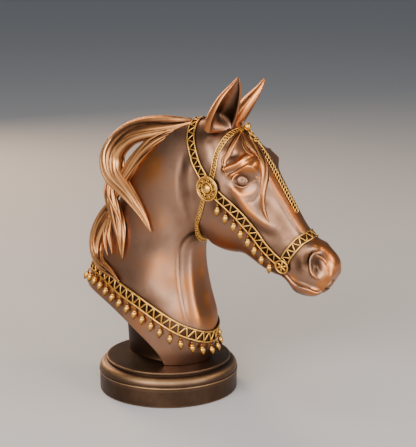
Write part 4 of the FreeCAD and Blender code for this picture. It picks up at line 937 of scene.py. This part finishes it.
def strapInto(shell, key, hubs):
    # rails at the edges, ended at the rosettes' rims, and bars that zigzag between them
    d = straps[key]
    q, length = evenPath(strapPaths[key], strapStep)
    half = d["width"] / 2 - d["rail"]
    lines = {}
    for side in (-1, 1):
        s, t = besidePath(q, side * half)
        line, n = laidLine(s, t, d["rail"] * 0.9)
        keep = np.ones(len(line), bool)
        for centre, radius in hubs:
            keep &= np.linalg.norm(line - centre, axis=-1) > radius
        lines[side] = (line, n)
        index = np.flatnonzero(keep)
        line, n = line[index[0]:index[-1] + 1], n[index[0]:index[-1] + 1]
        twist = 1 + 0.16 * np.sin(np.arange(len(line)) * strapStep * 2 * np.pi / ropePitch)
        rail = tubeGrid(line, n, d["rail"] * twist, d["rail"] * twist * 0.9, len(railWear))
        shell.grid(rail, railWear, poleStart=True, poleEnd=True, flip=True)
    count = max(int(round(length / d["pitch"] * 2)), 4)
    marks = np.linspace(0, len(q) - 1, count + 1).round().astype(int)
    for k in range(count):
        side = -1 if k % 2 else 1
        a, na = (values[marks[k]] for values in lines[side])
        b, nb = (values[marks[k + 1]] for values in lines[-side])
        if any(np.linalg.norm((a + b) / 2 - centre) < radius for centre, radius in hubs):
            continue
        share = np.linspace(0, 1, 6)[:, None]
        bow = (na + nb) / 2 * (np.sin(share * np.pi) * d["width"]**2 / 260)
        line = a + (b - a) * share + bow - (na + nb) * 0.12
        up = np.broadcast_to((na + nb) / 2, line.shape)
        bar = tubeGrid(line, up, d["bar"], d["bar"] * 0.75, len(barWear))
        shell.grid(bar, barWear, poleStart=True, poleEnd=True, flip=True)


def hubPoint(hub, lift):
    # a rosette's centre, raised off the skin, and the direction that it faces
    s, t = np.array([hub[0]]), np.radians([hub[1]])
    facing = formNormal(s, t)[0]
    return skinPoint(s, t)[0] + facing * lift, facing


cheekCentre, cheekNormal = hubPoint(cheekHub, 2.1)
mouthCentre, mouthNormal = hubPoint(mouthHub, 2.0)
# rosettes: backing disc's outline (radius, height), rings (height, radius, wire, columns, around, wear),
# the radius that the straps end at, and the stud's dome
rosettes = {
    "cheek": {"disc": [(0.05, -0.3), (11.0, -0.3), (11.3, 0.1), (11.0, 0.5), (0.05, 0.6)], "trim": 9.4,
              "rings": [(1.0, 10.6, 0.85, 80, 12, 1.0), (0.9, 9.2, 0.45, 72, 8, 0.9),
                        (1.0, 5.3, 0.6, 56, 10, 0.95)],
              "columns": 64, "beads": 44, "beadReach": 10.6, "scrolls": 9, "scrollReach": 7.3, "scroll": 1.75,
              "stud": (4.2, 2.6, 1.2)},
    "nose": {"disc": [(0.05, -0.3), (6.4, -0.3), (6.7, 0.1), (6.4, 0.4), (0.05, 0.5)], "trim": 5.2,
             "rings": [(0.8, 6.0, 0.8, 56, 12, 1.0), (0.7, 4.95, 0.28, 48, 8, 0.7)],
             "columns": 48, "petals": 6, "petalTurn": 0.26, "stud": (1.5, 0.9, 1.2)},
}
hubs = [(cheekCentre, rosettes["cheek"]["trim"]), (mouthCentre, rosettes["nose"]["trim"])]


def buildStraps():
    for key, node in (("collar", "breast_collar"), ("crown", "crown_strap"), ("nose", "noseband"),
                      ("brow", "brow_band"), ("throat", "throat_strap")):
        shell = Shell()
        strapInto(shell, key, [] if key == "collar" else hubs)
        shell.mirror()
        shell.object(key + "Strap", antiqueGold, node, "antique_gold")
    shell = Shell()
    strapInto(shell, "cheek", hubs)
    shell.object("cheekStrapRight", antiqueGold, "cheek_strap_right", "antique_gold")
    shell.mirrored().object("cheekStrapLeft", antiqueGold, "cheek_strap_left", "antique_gold")


# ---- rosettes
def torusInto(shell, centre, axis, major, minor, columns, around, wornAndShaded, stretch=None):
    # a ring of round wire; stretch = (direction, share) lengthens it to an oval
    f = np.linspace(0, 2 * np.pi, around, endpoint=False)
    profile = np.stack([major + minor * np.cos(f), minor * np.sin(f)], -1)
    grid = turnedGrid(profile, centre, axis, columns)
    if stretch:
        grid = grid + stretch[0] * (((grid - centre) @ stretch[0]) * stretch[1])[..., None]
    wearAndShading = wornAndShaded * np.clip(0.45 + 0.75 * np.sin(f), 0.1, 1)[:, None] * np.ones(columns)
    shell.grid(grid, wearAndShading, closedRows=True)


def beadInto(shell, centre, axis, radius, wornAndShaded, columns, rows):
    f = np.linspace(0, np.pi, rows + 2)[1:-1]
    profile = np.stack([radius * np.sin(f), radius * np.cos(f)], -1)
    shell.grid(turnedGrid(profile, centre, axis, columns), wornAndShaded, poleStart=True, poleEnd=True, flip=True)


def rosetteBase(d, c, n):
    # backing disc with its rings, and the two directions in its plane
    shell = Shell()
    discWear = np.array([0.1, 0.3, 0.4, 0.15, 0.05])[:, None] * np.ones(d["columns"])
    shell.grid(turnedGrid(d["disc"], c, n, d["columns"]), discWear, poleStart=True, poleEnd=True)
    for height, radius, wire, columns, around, wornAndShaded in d["rings"]:
        torusInto(shell, c + n * height, n, radius, wire, columns, around, wornAndShaded)
    e1 = unit(np.cross(np.array((0, 0, 1.0)), n))
    return shell, e1, np.cross(n, e1)


def cheekRosette():
    # disc and rings, a beaded rim, and nine scrolls: a spiral of reach r = R (1 - 0.62 u) over 1.35 turns
    d, c, n = rosettes["cheek"], cheekCentre, cheekNormal
    shell, e1, e2 = rosetteBase(d, c, n)
    for a in 2 * math.pi * np.arange(d["beads"]) / d["beads"]:
        out = e1 * math.cos(a) + e2 * math.sin(a)
        beadInto(shell, c + n * 1.7 + out * d["beadReach"], n, 0.52, 1.0, 8, 5)
    spiral = np.linspace(0, 1, 40)[:, None]
    angle = spiral * 2 * math.pi * 1.35
    reach = d["scroll"] * (1 - 0.62 * spiral)
    for a in 2 * math.pi * np.arange(d["scrolls"]) / d["scrolls"]:
        out, turn = e1 * math.cos(a) + e2 * math.sin(a), e2 * math.cos(a) - e1 * math.sin(a)
        line = c + n * 1.1 + out * (d["scrollReach"] + reach * np.cos(angle)) + turn * (reach * np.sin(angle))
        shell.grid(tubeGrid(line, np.broadcast_to(n, line.shape), 0.38, 0.42, 8), 0.85, poleStart=True,
                   poleEnd=True, flip=True)
        b = a + math.pi / d["scrolls"]
        between = e1 * math.cos(b) + e2 * math.sin(b)
        beadInto(shell, c + n + between * 8.3, n, 0.5, 0.9, 8, 5)
        beadInto(shell, c + n + between * 6.4, n, 0.42, 0.8, 8, 5)
    return shell


def studDome(c, n, radius, rise, base):
    # a quarter ellipse of radius by rise, turned, on a shank of 1.5 mm that goes down through the rosette
    shell = Shell()
    f = np.linspace(0.02, math.pi / 2, 12)
    profile = [(radius * math.sin(a), base + rise * math.cos(a)) for a in f]
    profile += [(radius * 1.04, base - 0.2), (radius * 0.96, base - 0.7), (1.5, base - 0.8), (1.5, -6.5),
                (0.3, -6.8)]
    wornAndShaded = [1.0] * 9 + [0.85, 0.6, 0.4, 0.25, 0.1, 0.1, 0.1, 0.1]
    wearAndShading = np.array(wornAndShaded)[:, None] * np.ones(40)
    shell.grid(turnedGrid(profile, c, n, 40), wearAndShading, poleStart=True, poleEnd=True, flip=True)
    return shell


def noseRosette():
    # rim wheel with six petals over a dark disc
    d, c, n = rosettes["nose"], mouthCentre, mouthNormal
    shell, e1, e2 = rosetteBase(d, c, n)
    petal = np.sin(np.linspace(0.25, math.pi - 0.12, 12))**0.8
    for a in 2 * math.pi * np.arange(d["petals"]) / d["petals"] + d["petalTurn"]:
        out = e1 * math.cos(a) + e2 * math.sin(a)
        line = c + n * 0.95 + out * np.linspace(0.9, 4.9, 12)[:, None]
        tube = tubeGrid(line, np.broadcast_to(n, line.shape), 0.95 * petal + 0.1, 0.55 * petal + 0.08, 10)
        shell.grid(tube, 0.9, poleStart=True, poleEnd=True, flip=True)
    return shell


def buildRosettes():
    cheek, nose = rosettes["cheek"]["stud"], rosettes["nose"]["stud"]
    for key, shell, node in (("cheekRosette", cheekRosette(), "cheek_rosette"),
                             ("cheekStud", studDome(cheekCentre, cheekNormal, *cheek), "cheek_stud"),
                             ("noseRosette", noseRosette(), "nose_rosette"),
                             ("noseStud", studDome(mouthCentre, mouthNormal, *nose), "nose_stud")):
        shell.object(key + "Right", antiqueGold, node + "_right", "antique_gold")
        shell.mirrored().object(key + "Left", antiqueGold, node + "_left", "antique_gold")


# ---- drops, chain, bead and ring
drop = {"length": 11.2, "radius": 2.75, "tuck": 1.2375, "lean": 0.18, "ring": (0.8, 0.28), "columns": 12,
        "profile": [(0.08, 0.0), (0.32, -0.03), (0.4, -0.08), (0.3, -0.13), (0.14, -0.16), (0.24, -0.2),
                    (0.6, -0.25), (0.72, -0.3), (0.66, -0.33), (0.8, -0.37), (0.98, -0.44), (1.0, -0.51),
                    (0.9, -0.62), (0.7, -0.75), (0.45, -0.87), (0.2, -0.96), (0.04, -1.0)]}


def dropInto(shell, top, down):
    # turned drop: neck, collar and pear, radius and height as shares of the drop's size
    d = drop
    profile = np.array(d["profile"]) * (d["radius"], d["length"])
    wornAndShaded = np.clip(0.35 + 0.65 * np.array(d["profile"])[:, :1], 0.1, 1) * np.ones(d["columns"])
    shell.grid(turnedGrid(profile, top, -down, d["columns"]), wornAndShaded, poleStart=True, poleEnd=True, flip=True)


def hangDrops(key, count, ends):
    # a row of drops from the lower edge of a strap, each on its own small ring
    d = straps[key]
    q, _ = evenPath(strapPaths[key], strapStep)
    shell = Shell()
    s, t = besidePath(q, d["width"] / 2 + 0.2)
    below, n = laidLine(s, t, drop["radius"] + 0.4)
    other, _ = laidLine(*besidePath(q, -d["width"] / 2 - 0.2), drop["radius"] + 0.4)
    if below[:, 2].mean() > other[:, 2].mean():
        below = other
    for k in range(count):
        i = int(round((ends[0] + (ends[1] - ends[0]) * k / (count - 1)) * (len(q) - 1)))
        down = np.array((0, 0, -1.0))
        down = unit(down - n[i] * (down @ n[i]) * 0.8)
        top = below[i]
        torusInto(shell, top - down * 0.4 - n[i] * drop["tuck"], unit(np.cross(n[i], down)), *drop["ring"],
                  12, 6, 0.8)
        dropInto(shell, top - n[i] * drop["tuck"], unit(down + n[i] * drop["lean"]))
    return shell


def buildDrops():
    for key, count, ends in (("collar", 17, (0.03, 0.97)), ("cheek", 8, (0.17, 0.88))):
        row = hangDrops(key, count, ends)
        row.object(key + "DropsRight", antiqueGold, key + "_drops_right", "antique_gold")
        row.mirrored().object(key + "DropsLeft", antiqueGold, key + "_drops_left", "antique_gold")


chain = {"start": 15.0, "end": 19.3, "pitch": 3.0, "rows": (-2.0, 2.0), "major": 1.75, "minor": 0.52}


def buildChain():
    # two rows of rings, each tipped against the next, with a row of beads between them
    d = chain
    q, length = evenPath([(d["start"], 0), (16.0, 0), (17.0, 0), (18.0, 0), (d["end"], 0)], d["pitch"] / 2)
    shell = Shell()
    for row, offset in enumerate(d["rows"]):
        s, t = besidePath(q, offset)
        line, n = laidLine(s, t, 1.2, 2)
        run = unit(np.gradient(line, axis=0))
        for i in range(row, len(line), 2):
            side = np.cross(n[i], run[i])
            axis = unit(n[i] + side * (0.45 if row else -0.45) + run[i] * 0.35)
            torusInto(shell, line[i], axis, d["major"], d["minor"], 16, 8, 1.0)
    line, n = laidLine(q[:, 0], np.radians(q[:, 1]), 1.5, 2)
    for i in range(len(line)):
        beadInto(shell, line[i], n[i], 0.7, 0.85, 8, 5)
    shell.object("faceChain", antiqueGold, "face_chain", "antique_gold")


# stations of the bead, the upper ring and the pair of rings that the chain hangs from
browOrnament = {"beadStation": 14.05, "beadRadius": 3.3, "beadLift": 4.6, "seat": (2.6, 0.7), "seatLift": 2.2,
                "ringStation": 14.42, "ring": (2.5, 0.75), "ringLift": 2.2, "ringTip": (0.3, 0, 0.2),
                "pairStation": 14.78, "pair": (2.4, 0.7), "pairLift": 1.6, "pairApart": 2.3, "pairTip": 0.35}


def faceFrame(station):
    # the point on the face's middle line and its outward direction
    p, n = skinFrame(np.array([station]), np.array([0.0]))
    return p[0], n[0]


def buildBrowOrnament():
    d = browOrnament
    p, n = faceFrame(d["beadStation"])
    shell = Shell()
    beadInto(shell, p + n * d["beadLift"], n, d["beadRadius"], 0.95, 32, 18)
    torusInto(shell, p + n * d["seatLift"], n, *d["seat"], 32, 10, 0.8)
    shell.object("browBead", antiqueGold, "brow_bead", "antique_gold")
    p, n = faceFrame(d["ringStation"])
    shell = Shell()
    torusInto(shell, p + n * d["ringLift"], unit(n + np.array(d["ringTip"])), *d["ring"], 32, 12, 0.95)
    p, n = faceFrame(d["pairStation"])
    oval = (unit(np.cross(n, (0, 1, 0))), 0.5)
    for side in (-1, 1):
        centre = p + n * d["pairLift"] + np.array((0, d["pairApart"] * side, 0))
        axis = unit(n + np.array((0, d["pairTip"] * side, 0)))
        torusInto(shell, centre, axis, *d["pair"], 32, 10, 0.95, oval)
    shell.object("browRing", antiqueGold, "brow_ring", "antique_gold")


buildPlinth()
buildPost()
print("plinth and post done")
buildEars()
buildEyes()
print("ears and eyes done")
buildMane()
buildForelock()
print("hair done")
buildStraps()
buildRosettes()
buildDrops()
buildChain()
buildBrowOrnament()
print("tack done")

# ---- camera, floor and light: metres, degrees, watts
camera = {"place": (0.5693, -0.9861, 0.4101), "tilt": -12.53, "turn": 28.11, "lens": 101.2, "sensor": 36}
# for each light: place, target, size, power, colour
lights = {
    "wallSoftbox": ((0.35, -2.05, 0.95), (0.03, 0, 0.17), (3.0, 1.3), 104, "#fbf7f2"),
    "rightSoftbox": ((1.8, -0.45, 0.55), (0.05, 0, 0.17), (0.7, 1.3), 25, "#f2f2f6"),
    "noseStrip": ((1.5, 0.5, 1.3), (0.05, 0, 0.2), (0.5, 0.5), 10, "#ffe0bd"),
    "rimStrip": ((-1.2, 0.75, 0.9), (0, 0, 0.18), (0.5, 1.2), 18, "#ffd4aa"),
    "topSoftbox": ((-0.3, -0.3, 1.8), (0.03, 0, 0.15), (0.8, 0.8), 5, "#fff2e2"),
}
floorReach, worldStrength = 30.0, 0.43


def addCamera():
    d = camera
    obj = bpy.data.objects.new("camera", bpy.data.cameras.new("camera"))
    bpy.context.scene.collection.objects.link(obj)
    obj.location = d["place"]
    obj.rotation_euler = (math.radians(90 + d["tilt"]), 0, math.radians(d["turn"]))
    obj.data.lens = d["lens"]
    obj.data.sensor_width = d["sensor"]
    obj.data.clip_start = 0.01
    bpy.context.scene.camera = obj


def addArea(name, place, target, size, power, colour):
    # a rectangular light whose -Z looks at its target
    light = bpy.data.lights.new(name, "AREA")
    light.shape = "RECTANGLE"
    light.size, light.size_y = size
    light.energy = power
    light.color = linear(colour)[:3]
    obj = bpy.data.objects.new(name, light)
    obj.location = place
    direction = np.array(target, float) - np.array(place, float)
    yaw = math.atan2(direction[1], direction[0])
    pitch = math.atan2(math.hypot(direction[0], direction[1]), -direction[2])
    obj.rotation_euler = (pitch, 0, yaw - math.pi / 2)
    bpy.context.scene.collection.objects.link(obj)


def addStage():
    mesh = bpy.data.meshes.new("floor")
    r = floorReach
    mesh.from_pydata([(-r, -r, 0), (r, -r, 0), (r, r, 0), (-r, r, 0)], [], [(0, 1, 2, 3)])
    floor = bpy.data.objects.new("floor", mesh)
    material = bpy.data.materials.new("paper_sweep_pale_grey")
    material.use_nodes = True
    shader = material.node_tree.nodes["Principled BSDF"]
    shader.inputs["Base Color"].default_value = linear("#c2c3c5")
    shader.inputs["Roughness"].default_value = 0.7
    mesh.materials.append(material)
    bpy.context.scene.collection.objects.link(floor)
    world = bpy.data.worlds.new("studio")
    bpy.context.scene.world = world
    world.use_nodes = True
    background = world.node_tree.nodes["Background"]
    background.inputs["Color"].default_value = linear("#a8acb2")
    background.inputs["Strength"].default_value = worldStrength
    for name, settings in lights.items():
        addArea(name, *settings)


addCamera()
addStage()

# ---- CAD nodes that show as they are
for node, material in (("underside_plate", darkBronze), ("felt_pad", pressedFelt),
                       ("tie_rod", zincSteel), ("tie_rod_nut", zincSteel), ("tie_rod_washer", zincSteel),
                       ("anchor_bridge", castBrass), ("seam_sleeve", castBrass)):
    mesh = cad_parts[node].data
    mesh.materials.clear()
    mesh.materials.append(material)
